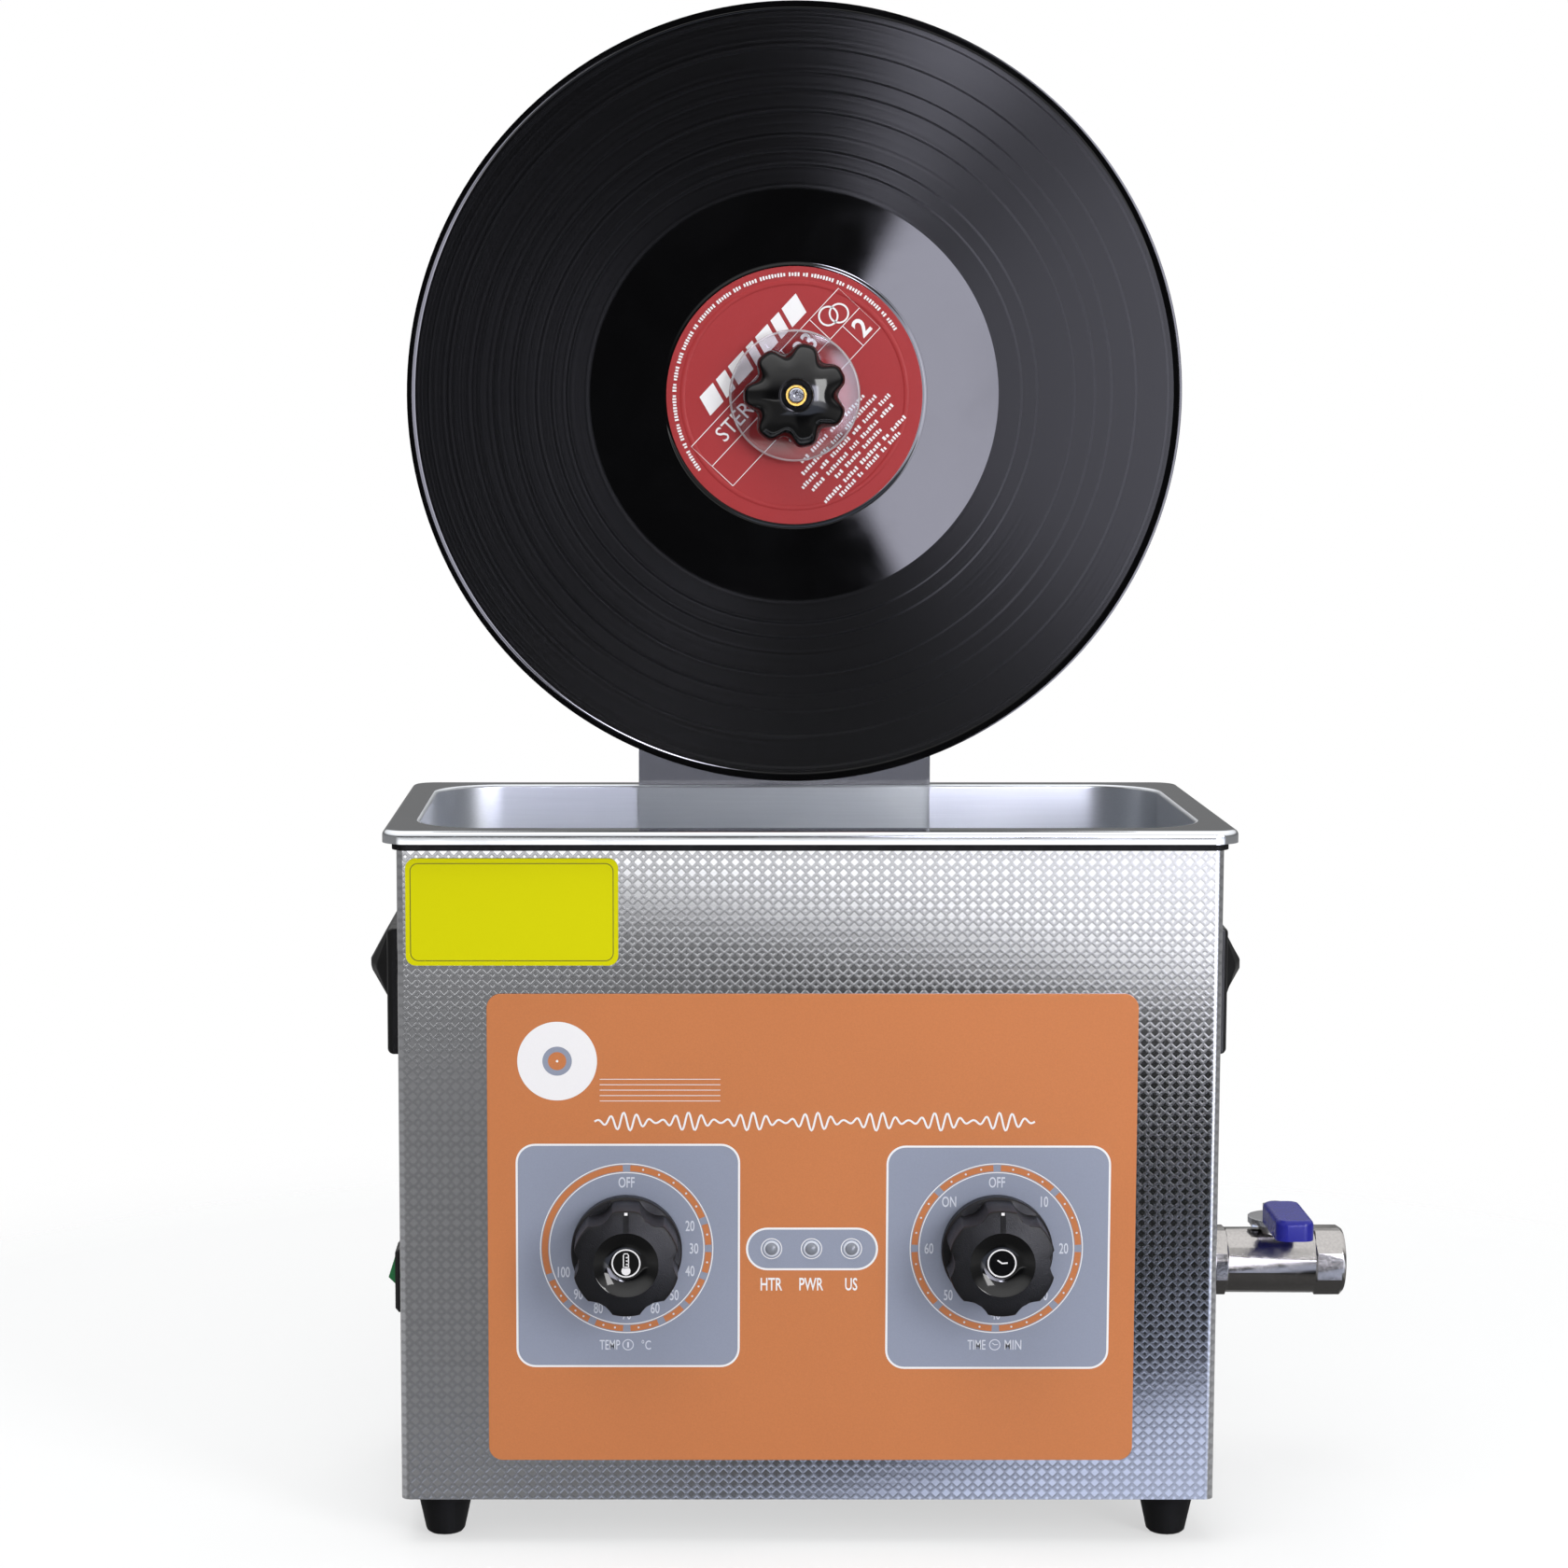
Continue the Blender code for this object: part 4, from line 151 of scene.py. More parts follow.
# %% Draw the room all round
world = bpy.data.worlds.new("studio")
bpy.context.scene.world = world
world.use_nodes = True
sky = world.node_tree
sky.nodes.clear()
view = put(sky, "ShaderNodeTexCoord").outputs["Generated"]
way = put(sky, "ShaderNodeSeparateXYZ", {0: view}).outputs
height = sums(sky, "MULTIPLY_ADD", way["Z"], 0.5, 0.5)
ROOM_AROUND = [
    (0.0, 0.1), (0.15, 0.14), (0.25, 0.34), (0.36, 0.45), (0.42, 0.3),
    (0.5, 0.2), (0.58, 0.18), (0.62, 0.4), (0.7, 1.0), (1.0, 1.6),
]
HIGH_IN_FRONT = [
    (0.0, 0.3), (0.1, 0.1), (0.22, 0.02), (0.3, 0.02), (0.545, 0.022),
    (0.58, 0.12), (0.66, 0.6), (0.74, 0.95), (1.0, 1.0),
]
room_around = tones(sky, height, ROOM_AROUND)
high_in_front = tones(sky, height, HIGH_IN_FRONT)
print("room ramps with", len(ROOM_AROUND), "and", len(HIGH_IN_FRONT), "tones")

# %% [markdown]
# The upright case front looks down a little, at three things that shade it from top to bottom: a
# bright wall far off, a dim stretch, and the bright table near its feet. The edges of wall and
# table run aslant, since the room isn't square to the case. Each is a soft step along the height,
# moved by how far the direction turns sideways.

# %% Draw the wall and the table in front
EDGE_AT = math.tan(math.radians(8.4))
WALL_LOW, WALL_TILT, WALL_SOFT, WALL_TONE = -0.158, 0.15, 0.014, 1.6
WALL_TOP, WALL_SURE = -0.1, -0.128
SURE_BELOW, SURE_ABOVE = 0.004, 0.002
TABLE_HIGH, TABLE_TILT, TABLE_SOFT, TABLE_TONE = -0.272, 0.3, 0.008, 0.9
TABLE_LOW, TABLE_FADE = -0.4, 0.06
LEFT_TONE = 0.26
ahead = sums(sky, "MULTIPLY", way["Y"], -1.0)
NEARLY_SIDEWAYS = 0.1
safe_ahead = sums(sky, "MAXIMUM", ahead, NEARLY_SIDEWAYS)
across = sums(sky, "DIVIDE", way["X"], safe_ahead)
from_edge = sums(sky, "SUBTRACT", across, EDGE_AT)
wall_edge = sums(sky, "MULTIPLY_ADD", from_edge, WALL_TILT, way["Z"])
wall_part = sums(
    sky, "MAXIMUM", spread(sky, wall_edge, WALL_LOW - WALL_SOFT, WALL_LOW + WALL_SOFT),
    spread(sky, way["Z"], WALL_SURE - SURE_BELOW, WALL_SURE + SURE_ABOVE),
)
wall = sums(
    sky, "MULTIPLY", wall_part,
    spread(sky, way["Z"], WALL_TOP - WALL_SOFT / 2, WALL_TOP + WALL_SOFT / 2, WALL_TONE, 0.0),
)
table_edge = sums(sky, "MULTIPLY_ADD", from_edge, -TABLE_TILT, way["Z"])
table = sums(
    sky, "MULTIPLY", spread(sky, table_edge, TABLE_HIGH - TABLE_SOFT, TABLE_HIGH + TABLE_SOFT, TABLE_TONE, 0.0),
    spread(sky, way["Z"], TABLE_LOW - TABLE_FADE, TABLE_LOW),
)
below = spread(sky, way["Z"], -0.12, -0.09, 1.0, 0.0)
left_part = sums(sky, "MULTIPLY", spread(sky, across, -0.09, 0.1, LEFT_TONE, 0.0), below)
print("wall above slope", WALL_LOW, "and table below slope", TABLE_HIGH)

# %% [markdown]
# One tall window stands far behind the camera, a little to the right, and flashes on the smooth
# run-out of the record. A high lamp and a low glow beside it feed the wedges of the grooves, and a
# wide glow at the side brightens what faces the right. Lamps there would also light the case, so
# all four are drawn in the world, by comparing the direction with their four edges.

# %% Draw the window and the glows
FRONT_ONLY = 0.1
def patch(left, right, low, high, blur, strength):
    """A soft-edged bright rectangle in front, its edges given as angles."""
    edges = [math.tan(math.radians(v)) for v in (left, right, low, high)]
    upward = sums(sky, "DIVIDE", way["Z"], safe_ahead)
    part = sums(sky, "MULTIPLY", spread(sky, across, edges[0] - blur, edges[0] + blur),
                spread(sky, across, edges[1] - blur, edges[1] + blur, 1.0, 0.0))
    part = sums(sky, "MULTIPLY", part, spread(sky, upward, edges[2] - blur, edges[2] + blur))
    part = sums(sky, "MULTIPLY", part, spread(sky, upward, edges[3] - blur, edges[3] + blur, 1.0, 0.0))
    part = sums(sky, "MULTIPLY", part, sums(sky, "GREATER_THAN", ahead, FRONT_ONLY))
    return sums(sky, "MULTIPLY", part, strength)


TABLE_TINT, GLOW_BLUE = (0.88, 0.97, 1.25), 0.2
window = patch(3.7, 5.7, -3.2, 3.4, 0.004, 6.5)
high_lamp = patch(5.0, 9.0, 8.0, 15.0, 0.02, 40.0)
side_glow = patch(12.0, 32.0, -8.0, 14.0, 0.015, 8.0)
groove_glow = patch(6.8, 11.0, -4.5, 6.0, 0.02, 6.5)
bright = sums(sky, "ADD", sums(sky, "ADD", window, high_lamp), sums(sky, "ADD", side_glow, groove_glow))
lower_tones = sums(sky, "ADD", sums(sky, "ADD", wall, left_part), bright)
drawn_front = put(sky, "ShaderNodeCombineXYZ", {
    0: sums(sky, "MULTIPLY_ADD", table, TABLE_TINT[0], lower_tones),
    1: sums(sky, "MULTIPLY_ADD", table, TABLE_TINT[1], lower_tones),
    2: sums(sky, "MULTIPLY_ADD", table, TABLE_TINT[2], sums(sky, "MULTIPLY_ADD", bright, GLOW_BLUE, lower_tones)),
}).outputs[0]
front_room = put(sky, "ShaderNodeVectorMath", {0: high_in_front, 1: drawn_front}, operation="ADD").outputs[0]
facing_front = spread(sky, ahead, 0.55, 0.85)
room = put(sky, "ShaderNodeMix", data_type="VECTOR")
for socket, source in ((0, facing_front), (4, room_around), (5, front_room)):
    sky.links.new(source, room.inputs[socket])
mirrored = room.outputs[1]
print("window, high lamp and two glows drawn")

# %% [markdown]
# Which ray asks decides what the world answers: the camera and clear plastic see plain white, a
# glossy surface sees the drawn room, and matt surfaces get an even soft light. One even world
# would be simpler, but then brushed steel would have nothing to mirror and look like grey paint.

# %% Answer each kind of ray
SOFT_LEVEL = 0.62
ray = put(sky, "ShaderNodeLightPath").outputs
seen_white = sums(sky, "MAXIMUM", ray["Is Camera Ray"], ray["Is Transmission Ray"])
soft = put(sky, "ShaderNodeBackground", {"Color": (0.97, 0.985, 1.0, 1), "Strength": SOFT_LEVEL})
drawn = put(sky, "ShaderNodeBackground", {"Color": mirrored, "Strength": 1.0})
white = put(sky, "ShaderNodeBackground", {"Color": (1, 1, 1, 1), "Strength": 1.0})
lit = put(sky, "ShaderNodeMixShader", {0: ray["Is Glossy Ray"], 1: soft.outputs[0], 2: drawn.outputs[0]})
answer = put(sky, "ShaderNodeMixShader", {0: seen_white, 1: lit.outputs[0], 2: white.outputs[0]})
put(sky, "ShaderNodeOutputWorld", {"Surface": answer.outputs[0]})
print("soft light at", SOFT_LEVEL)

# %% [markdown]
# Three soft lamps model the forms: a wide one above and in front, a tall one from the right, and
# one behind. Their strength keeps a painted colour near its own value. Glossy surfaces could mirror
# them too, but black gloss would turn grey, so only the lamp at the right keeps its highlight and
# the rest comes from the drawn room.

# %% Add the lamps
def soft_lamp(name, place, target, width, depth, watts):
    """A rectangular lamp that looks at a place."""
    data = bpy.data.lights.new(name, "AREA")
    data.shape = "RECTANGLE"
    data.size, data.size_y, data.energy = width, depth, watts
    lamp = bpy.data.objects.new(name, data)
    lamp.location = place
    lamp.rotation_euler = (target - place).to_track_quat("-Z", "Y").to_euler()
    lamp.visible_glossy = False
    bpy.context.scene.collection.objects.link(lamp)
    return lamp


TARGET = at(0, 60, 250)
top_lamp = soft_lamp("top_lamp", at(-250, -500, 1750), TARGET, 1.3, 0.9, 11)
side_lamp = soft_lamp("side_lamp", at(950, -1150, 650), TARGET, 0.5, 0.8, 11)
side_lamp.visible_glossy = True
back_lamp = soft_lamp("back_lamp", at(0, 1500, 1500), TARGET, 1.4, 0.8, 9)
print("lamps:", top_lamp.name, side_lamp.name, back_lamp.name)

# %% [markdown]
# The floor is a pale round sheet that fades out, so the picture stays white to its edges and the
# object still has its soft shadow. An endless floor would be simpler, but the low steel would
# mirror all of it. The fade is a ring of transparency worked out from the distance to the middle.

# %% Lay the floor
FLOOR_RADIUS = 1.0
FADE_START, FADE_END = 0.34, 0.72
SHADOW_LIGHTNESS = 0.56
floor_paint = bpy.data.materials.new("pale_floor")
floor_paint.use_nodes = True
tree = floor_paint.node_tree
tree.nodes.clear()
place = put(tree, "ShaderNodeTexCoord").outputs["Object"]
reach = put(tree, "ShaderNodeVectorMath", {0: place}, operation="LENGTH").outputs["Value"]
fade = spread(tree, reach, FADE_START, FADE_END)
is_glossy = put(tree, "ShaderNodeLightPath").outputs["Is Glossy Ray"]
clear_part = sums(tree, "MAXIMUM", sums(tree, "MAXIMUM", fade, is_glossy), SHADOW_LIGHTNESS)
pale = put(tree, "ShaderNodeBsdfDiffuse", {"Color": (0.93, 0.93, 0.93, 1)})
see_through = put(tree, "ShaderNodeBsdfTransparent")
both = put(tree, "ShaderNodeMixShader", {0: clear_part, 1: pale.outputs[0], 2: see_through.outputs[0]})
put(tree, "ShaderNodeOutputMaterial", {"Surface": both.outputs[0]})

floor_mesh = bpy.data.meshes.new("floor")
grid = bmesh.new()
bmesh.ops.create_circle(grid, cap_ends=True, segments=96, radius=FLOOR_RADIUS)
grid.to_mesh(floor_mesh)
grid.free()
floor_mesh.materials.append(floor_paint)
floor = bpy.data.objects.new("floor", floor_mesh)
floor.location = (0, 0, -0.0004)
bpy.context.scene.collection.objects.link(floor)
print("floor radius", FLOOR_RADIUS)

# %% [markdown]
# Shared effects come first, as node groups: a fine grain for paint and moulded plastic, drawn
# lines for brushed metal, and the smudges that any handled gloss has. They could be repeated in
# each material, but one group with named inputs keeps them alike and easy to change.

# %% Build the shared effects
def new_group(name, inputs, outputs):
    """An empty node group with named float inputs and its outputs."""
    tree = bpy.data.node_groups.new(name, "ShaderNodeTree")
    for label, value in inputs.items():
        tree.interface.new_socket(label, in_out="INPUT", socket_type="NodeSocketFloat").default_value = value
    for label in outputs:
        tree.interface.new_socket(label, in_out="OUTPUT", socket_type="NodeSocketFloat")
    return tree, tree.nodes.new("NodeGroupInput").outputs, tree.nodes.new("NodeGroupOutput")


def finish_group(tree, end, results):
    """Links the results to the group's outputs."""
    for label, socket in results.items():
        tree.links.new(socket, end.inputs[label])
    return tree


tree, given, end = new_group("fine_grain", {"Size": 0.0004, "Contrast": 1.0}, ("Height", "Tone"))
where = put(tree, "ShaderNodeTexCoord").outputs["Object"]
scale = sums(tree, "DIVIDE", 1.0, given["Size"])
fine = {"Vector": where, "Scale": scale, "Detail": 2.0, "Roughness": 0.6}
grain = put(tree, "ShaderNodeTexNoise", fine).outputs["Fac"]
cloud = put(tree, "ShaderNodeTexNoise", {"Vector": where, "Scale": 14.0, "Detail": 3.0}).outputs["Fac"]
swing = sums(tree, "MULTIPLY", sums(tree, "SUBTRACT", grain, 0.5), given["Contrast"])
drift = sums(tree, "MULTIPLY", sums(tree, "SUBTRACT", cloud, 0.5), 0.5)
FINE_GRAIN = finish_group(tree, end, {"Height": grain, "Tone": sums(tree, "ADD", swing, drift)})

tree, given, end = new_group("drawn_lines", {"Along": 30.0, "Across": 2500.0}, ("Height", "Tone"))
where = put(tree, "ShaderNodeTexCoord").outputs["Object"]
stretch = put(tree, "ShaderNodeCombineXYZ", {0: given["Along"], 1: given["Across"], 2: given["Across"]})
stretched = put(tree, "ShaderNodeVectorMath", {0: where, 1: stretch.outputs[0]}, operation="MULTIPLY").outputs[0]
lines = put(tree, "ShaderNodeTexNoise", {"Vector": stretched, "Scale": 1.0, "Detail": 3.0}).outputs["Fac"]
DRAWN_LINES = finish_group(tree, end, {"Height": lines, "Tone": sums(tree, "SUBTRACT", lines, 0.5)})

tree, given, end = new_group("handled", {"Size": 0.03}, ("Tone",))
where = put(tree, "ShaderNodeTexCoord").outputs["Object"]
scale = sums(tree, "DIVIDE", 1.0, given["Size"])
smears = {"Vector": where, "Scale": scale, "Detail": 5.0, "Roughness": 0.65, "Distortion": 0.6}
smudge = put(tree, "ShaderNodeTexNoise", smears)
HANDLED = finish_group(tree, end, {"Tone": spread(tree, smudge.outputs["Fac"], 0.35, 0.7)})
print("effects:", FINE_GRAIN.name, DRAWN_LINES.name, HANDLED.name)

# %% [markdown]
# The case is pressed from sheet with a lattice of flat diamonds, 4 mm apart, with a small diamond
# between each four. Real dents would need a million faces, so the relief is worked out from the
# place on the sheet: how far a point lies from its diamond's middle, counted along both edges.

# %% Build the pressed lattice
LATTICE_PITCH = 4.1 * MM
LARGE_DIAMOND, LARGE_EDGE = 0.37, 0.43
SMALL_DIAMOND, SMALL_EDGE = 0.83, 0.77

tree, given, end = new_group("pressed_lattice", {"Pitch": LATTICE_PITCH}, ("Height", "Flat"))
coordinates = put(tree, "ShaderNodeTexCoord")
where = put(tree, "ShaderNodeSeparateXYZ", {0: coordinates.outputs["Object"]}).outputs
faces = put(tree, "ShaderNodeSeparateXYZ", {0: coordinates.outputs["Normal"]}).outputs
sideways = sums(tree, "GREATER_THAN", sums(tree, "ABSOLUTE", faces["X"]), 0.7)
along = sums(tree, "MULTIPLY_ADD", sideways, sums(tree, "SUBTRACT", where["Y"], where["X"]), where["X"])


def from_diamond(tree, value, pitch):
    """How far a value lies from the nearest diamond's middle, in shares of the pitch."""
    turns = sums(tree, "ADD", sums(tree, "DIVIDE", value, pitch), 0.5)
    return sums(tree, "ABSOLUTE", sums(tree, "SUBTRACT", sums(tree, "FRACT", turns), 0.5))


distance = sums(
    tree, "ADD", from_diamond(tree, along, given["Pitch"]), from_diamond(tree, where["Z"], given["Pitch"])
)
rise = spread(tree, distance, LARGE_DIAMOND, LARGE_EDGE)
fall = spread(tree, distance, SMALL_EDGE, SMALL_DIAMOND, 1.0, 0.0)
ridge = sums(tree, "MULTIPLY", rise, fall)
dome = spread(tree, sums(tree, "ABSOLUTE", sums(tree, "SUBTRACT", distance, 0.6)), 0.0, 0.24, 1.0, 0.6)
relief = sums(tree, "MULTIPLY", ridge, dome)
PRESSED_LATTICE = finish_group(tree, end, {"Height": relief, "Flat": sums(tree, "SUBTRACT", 1.0, ridge)})
print("lattice pitch", LATTICE_PITCH)

# %% [markdown]
# A finish is one material: its Principled shader with plain values, and effects that vary them.
# Each could be written out in full, but they all start in the same way, so a helper makes the
# shader, and the cells below add only what makes each metal, paint or plastic itself.

# %% Helpers for finishes
def finish(name, paint, roughness, metallic=0.0, **more):
    """A material with one Principled shader; more holds its sockets by name, with _ for a space."""
    made = bpy.data.materials.new(name)
    made.use_nodes = True
    shader = made.node_tree.nodes["Principled BSDF"]
    shader.inputs["Base Color"].default_value = paint
    shader.inputs["Roughness"].default_value = roughness
    shader.inputs["Metallic"].default_value = metallic
    for label, value in more.items():
        shader.inputs[label.replace("_", " ")].default_value = value
    return made, made.node_tree, shader


def effect(tree, group, **values):
    """Places a shared effect with its values."""
    return put(tree, "ShaderNodeGroup", values, node_tree=group).outputs


def tint(tree, shader, paint, tone, amount):
    """Makes the paint lighter and darker with a tone around zero."""
    level = sums(tree, "MULTIPLY_ADD", tone, amount, 1.0)
    mixed = put(tree, "ShaderNodeVectorMath", {0: paint[:3], 3: level}, operation="SCALE")
    tree.links.new(mixed.outputs[0], shader.inputs["Base Color"])


def roughen(tree, shader, tone, low, high):
    """Lets the roughness run from low to high with a tone from 0 to 1."""
    tree.links.new(spread(tree, tone, 0.0, 1.0, low, high, "LINEAR"), shader.inputs["Roughness"])


def emboss(tree, shader, height, depth, strength=1.0):
    """Feeds a height, in metres deep, to the surface normal."""
    bump = put(tree, "ShaderNodeBump", {"Height": height, "Distance": depth, "Strength": strength})
    tree.links.new(bump.outputs["Normal"], shader.inputs["Normal"])


print("helpers for finishes ready")

# %% [markdown]
# Steel comes in five looks here: the pressed case, the satin base plate, the drawn tank, its
# brighter rim and the small turned parts. One colour could serve all, but the tank is a little
# paler. What else sets them apart is how rough they are and how their fine lines run.

# %% Mix the steels
STEEL = colour(212, 213, 217)
patterned_steel, tree, shader = finish("patterned_steel", STEEL, 0.12, 1.0)
lattice = effect(tree, PRESSED_LATTICE, Pitch=LATTICE_PITCH)
lines = effect(tree, DRAWN_LINES, Along=40.0, Across=1800.0)
ridge_tone = sums(tree, "SUBTRACT", 1.0, lattice["Flat"])
roughen(tree, shader, ridge_tone, 0.05, 0.11)
darker_ridges = sums(tree, "MULTIPLY", ridge_tone, -0.2)
tint(tree, shader, STEEL, sums(tree, "MULTIPLY_ADD", lines["Tone"], 0.2, darker_ridges), 1.0)
emboss(tree, shader, lattice["Height"], 0.006 * MM)

satin_steel, tree, shader = finish("satin_steel", STEEL, 0.24, 1.0)
lines = effect(tree, DRAWN_LINES, Along=25.0, Across=1500.0)
smudges = effect(tree, HANDLED, Size=0.05)
tint(tree, shader, STEEL, lines["Tone"], 0.16)
roughen(tree, shader, smudges["Tone"], 0.2, 0.28)
emboss(tree, shader, lines["Height"], 0.01 * MM)

TANK_STEEL = colour(224, 227, 232)
tank_steel, tree, shader = finish("tank_steel", TANK_STEEL, 0.38, 1.0)
lines = effect(tree, DRAWN_LINES, Along=25.0, Across=1500.0)
smudges = effect(tree, HANDLED, Size=0.06)
tint(tree, shader, TANK_STEEL, lines["Tone"], 0.12)
roughen(tree, shader, smudges["Tone"], 0.33, 0.42)
emboss(tree, shader, lines["Height"], 0.01 * MM)

rim_steel, tree, shader = finish("rim_steel", TANK_STEEL, 0.14, 1.0)
lines = effect(tree, DRAWN_LINES, Along=25.0, Across=1500.0)
tint(tree, shader, TANK_STEEL, lines["Tone"], 0.1)
roughen(tree, shader, effect(tree, HANDLED, Size=0.05)["Tone"], 0.04, 0.09)

bright_steel, tree, shader = finish("bright_steel", STEEL, 0.08, 1.0)
smudges = effect(tree, HANDLED, Size=0.04)
roughen(tree, shader, smudges["Tone"], 0.07, 0.14)
tint(tree, shader, STEEL, sums(tree, "SUBTRACT", smudges["Tone"], 0.5), 0.05)
print("steels:", patterned_steel.name, satin_steel.name, tank_steel.name, rim_steel.name, bright_steel.name)

# %% [markdown]
# The valve is plated brass, warmer and a little uneven, and the inserts are bare brass. The motor
# side and the heat sink are aluminium. Each gets its own tone and light drawn lines, because one
# grey for all metals would make the drain, the clamp and the stand look cast in one piece.

# %% Mix the other metals
PLATED = colour(166, 163, 161)
plated_brass, tree, shader = finish("plated_brass", PLATED, 0.16, 1.0)
smudges = effect(tree, HANDLED, Size=0.012)
lines = effect(tree, DRAWN_LINES, Along=900.0, Across=900.0)
tint(tree, shader, PLATED, lines["Tone"], 0.3)
roughen(tree, shader, smudges["Tone"], 0.12, 0.24)
emboss(tree, shader, lines["Height"], 0.02 * MM)

BRASS = colour(214, 178, 96)
brass, tree, shader = finish("brass", BRASS, 0.22, 1.0)
tint(tree, shader, BRASS, effect(tree, DRAWN_LINES, Along=1200.0, Across=1200.0)["Tone"], 0.3)

ALUMINIUM = colour(188, 190, 194)
aluminium, tree, shader = finish("aluminium", ALUMINIUM, 0.38, 1.0)
lines = effect(tree, DRAWN_LINES, Along=60.0, Across=1600.0)
tint(tree, shader, ALUMINIUM, lines["Tone"], 0.2)
emboss(tree, shader, lines["Height"], 0.01 * MM)

COPPER = colour(196, 112, 66)
copper_winding, tree, shader = finish("copper_winding", COPPER, 0.3, 1.0)
wire = put(tree, "ShaderNodeTexWave", {"Scale": 380.0, "Distortion": 0.4}, bands_direction="Z")
turns_of_wire = wire.outputs["Fac"]
emboss(tree, shader, turns_of_wire, 0.2 * MM)
# The copper is painted lighter on the crest of each turn and darker between the turns: painted highlight and shade that
# follow the bump.
tint(tree, shader, COPPER, sums(tree, "SUBTRACT", turns_of_wire, 0.5), 0.4)
print("metals:", plated_brass.name, brass.name, aluminium.name, copper_winding.name)

# %% [markdown]
# The control panel is printed film: a semi-matt orange with a very fine speckle, grey fields and
# white lines. A flat colour reads as plastic from a toy, so the speckle runs through the colour and
# through the surface, with one shared grain at two strengths.

# %% Mix the panel colours
def film(name, paint, roughness, contrast, size=0.5 * MM, gloss=0.35):
    """A printed or painted surface with a fine speckle."""
    made, tree, shader = finish(name, paint, roughness, Specular_IOR_Level=gloss)
    grain = effect(tree, FINE_GRAIN, Size=size, Contrast=1.0)
    tint(tree, shader, paint, grain["Tone"], contrast)
    emboss(tree, shader, grain["Height"], 0.02 * MM)
    return made


orange_paint = film("orange_paint", colour(192, 117, 68), 0.42, 0.2)
grey_print = film("grey_print", colour(140, 146, 164), 0.4, 0.12)
white_print = film("white_print", colour(236, 234, 236), 0.45, 0.05)
faint_print = film("faint_print", colour(214, 217, 228), 0.45, 0.05)
yellow_film = film("yellow_film", colour(210, 206, 0), 0.5, 0.05, gloss=0.1)
dark_print = film("dark_print", colour(74, 72, 20), 0.45, 0.05)
red_paper = film("red_paper", colour(150, 35, 37), 0.5, 0.16)
green_board = film("green_board", colour(30, 92, 58), 0.4, 0.3)
heater_film = film("heater_film", colour(150, 76, 44), 0.4, 0.3)
print("printed surfaces:", orange_paint.name, grey_print.name, yellow_film.name)

# %% [markdown]
# Plastics and rubber come from moulds: the knobs have a fine pebble on their faces, the handles
# are smoother, the feet are soft matt rubber, and the star knob is polished. Only grain size,
# depth and roughness differ, so one helper makes them all.

# %% Mix the plastics
def moulded(name, paint, rough_low, rough_high, grain_size, grain_depth, **more):
    """A moulded surface with a pebble of its own size and depth."""
    made, tree, shader = finish(name, paint, rough_low, **more)
    grain = effect(tree, FINE_GRAIN, Size=grain_size, Contrast=1.0)
    smudges = effect(tree, HANDLED, Size=0.02)
    roughen(tree, shader, smudges["Tone"], rough_low, rough_high)
    tint(tree, shader, paint, grain["Tone"], 0.25)
    emboss(tree, shader, grain["Height"], grain_depth)
    return made


pebbled_plastic = moulded(
    "pebbled_plastic", colour(14, 14, 17), 0.34, 0.42, 0.45 * MM, 0.12 * MM, Specular_IOR_Level=0.3
)
black_plastic = moulded(
    "black_plastic", colour(9, 9, 10), 0.3, 0.4, 0.6 * MM, 0.03 * MM, Specular_IOR_Level=0.35
)
gloss_black = moulded("gloss_black", colour(8, 8, 9), 0.06, 0.12, 2.0 * MM, 0.004 * MM)
black_rubber = moulded(
    "black_rubber", colour(6, 6, 7), 0.6, 0.75, 0.5 * MM, 0.06 * MM, Specular_IOR_Level=0.25
)
blue_sleeve = moulded(
    "blue_sleeve", colour(32, 34, 138), 0.24, 0.34, 1.2 * MM, 0.02 * MM, Specular_IOR_Level=0.3
)
grey_lens = moulded("grey_lens", colour(128, 132, 142), 0.2, 0.28, 0.8 * MM, 0.01 * MM)
green_lens = moulded(
    "green_lens", colour(20, 120, 62), 0.14, 0.2, 1.0 * MM, 0.01 * MM, Coat_Weight=0.5
)
print("plastics:", pebbled_plastic.name, black_plastic.name, gloss_black.name)

# %% [markdown]
# Acrylic comes in three tones: the clamp discs, the clear inner plate of the stand and the smoked
# outer one. Plain glass would throw a black shadow on the label, since light bent by glass is
# costly to follow, so shadow rays pass straight through and all others meet the glass. The edge
# of the front disc gets a finish of its own. It is rougher and a little milky, as a sawn edge is,
# and painted paler so that it shows as bright rings, a painted highlight.

# %% Mix the clear acrylic
def acrylic(name, tone):
    """See-through plastic of a tone, with faint smudges."""
    made, tree, shader = finish(name, tone, 0.03, 0.0, Transmission_Weight=1.0, IOR=1.49)
    smudges = effect(tree, HANDLED, Size=0.03)
    roughen(tree, shader, smudges["Tone"], 0.01, 0.05)
    shadow_ray = put(tree, "ShaderNodeLightPath").outputs["Is Shadow Ray"]
    passing = put(tree, "ShaderNodeBsdfTransparent", {"Color": tone})
    mixed = put(tree, "ShaderNodeMixShader", {0: shadow_ray, 1: shader.outputs[0], 2: passing.outputs[0]})
    tree.links.new(mixed.outputs[0], tree.nodes["Material Output"].inputs["Surface"])
    return made


clear_acrylic = acrylic("clear_acrylic", (0.86, 0.84, 0.88, 1))
clear_sheet = acrylic("clear_sheet", (0.98, 0.985, 1.0, 1))
smoked_sheet = acrylic("smoked_sheet", (0.115, 0.115, 0.135, 1))
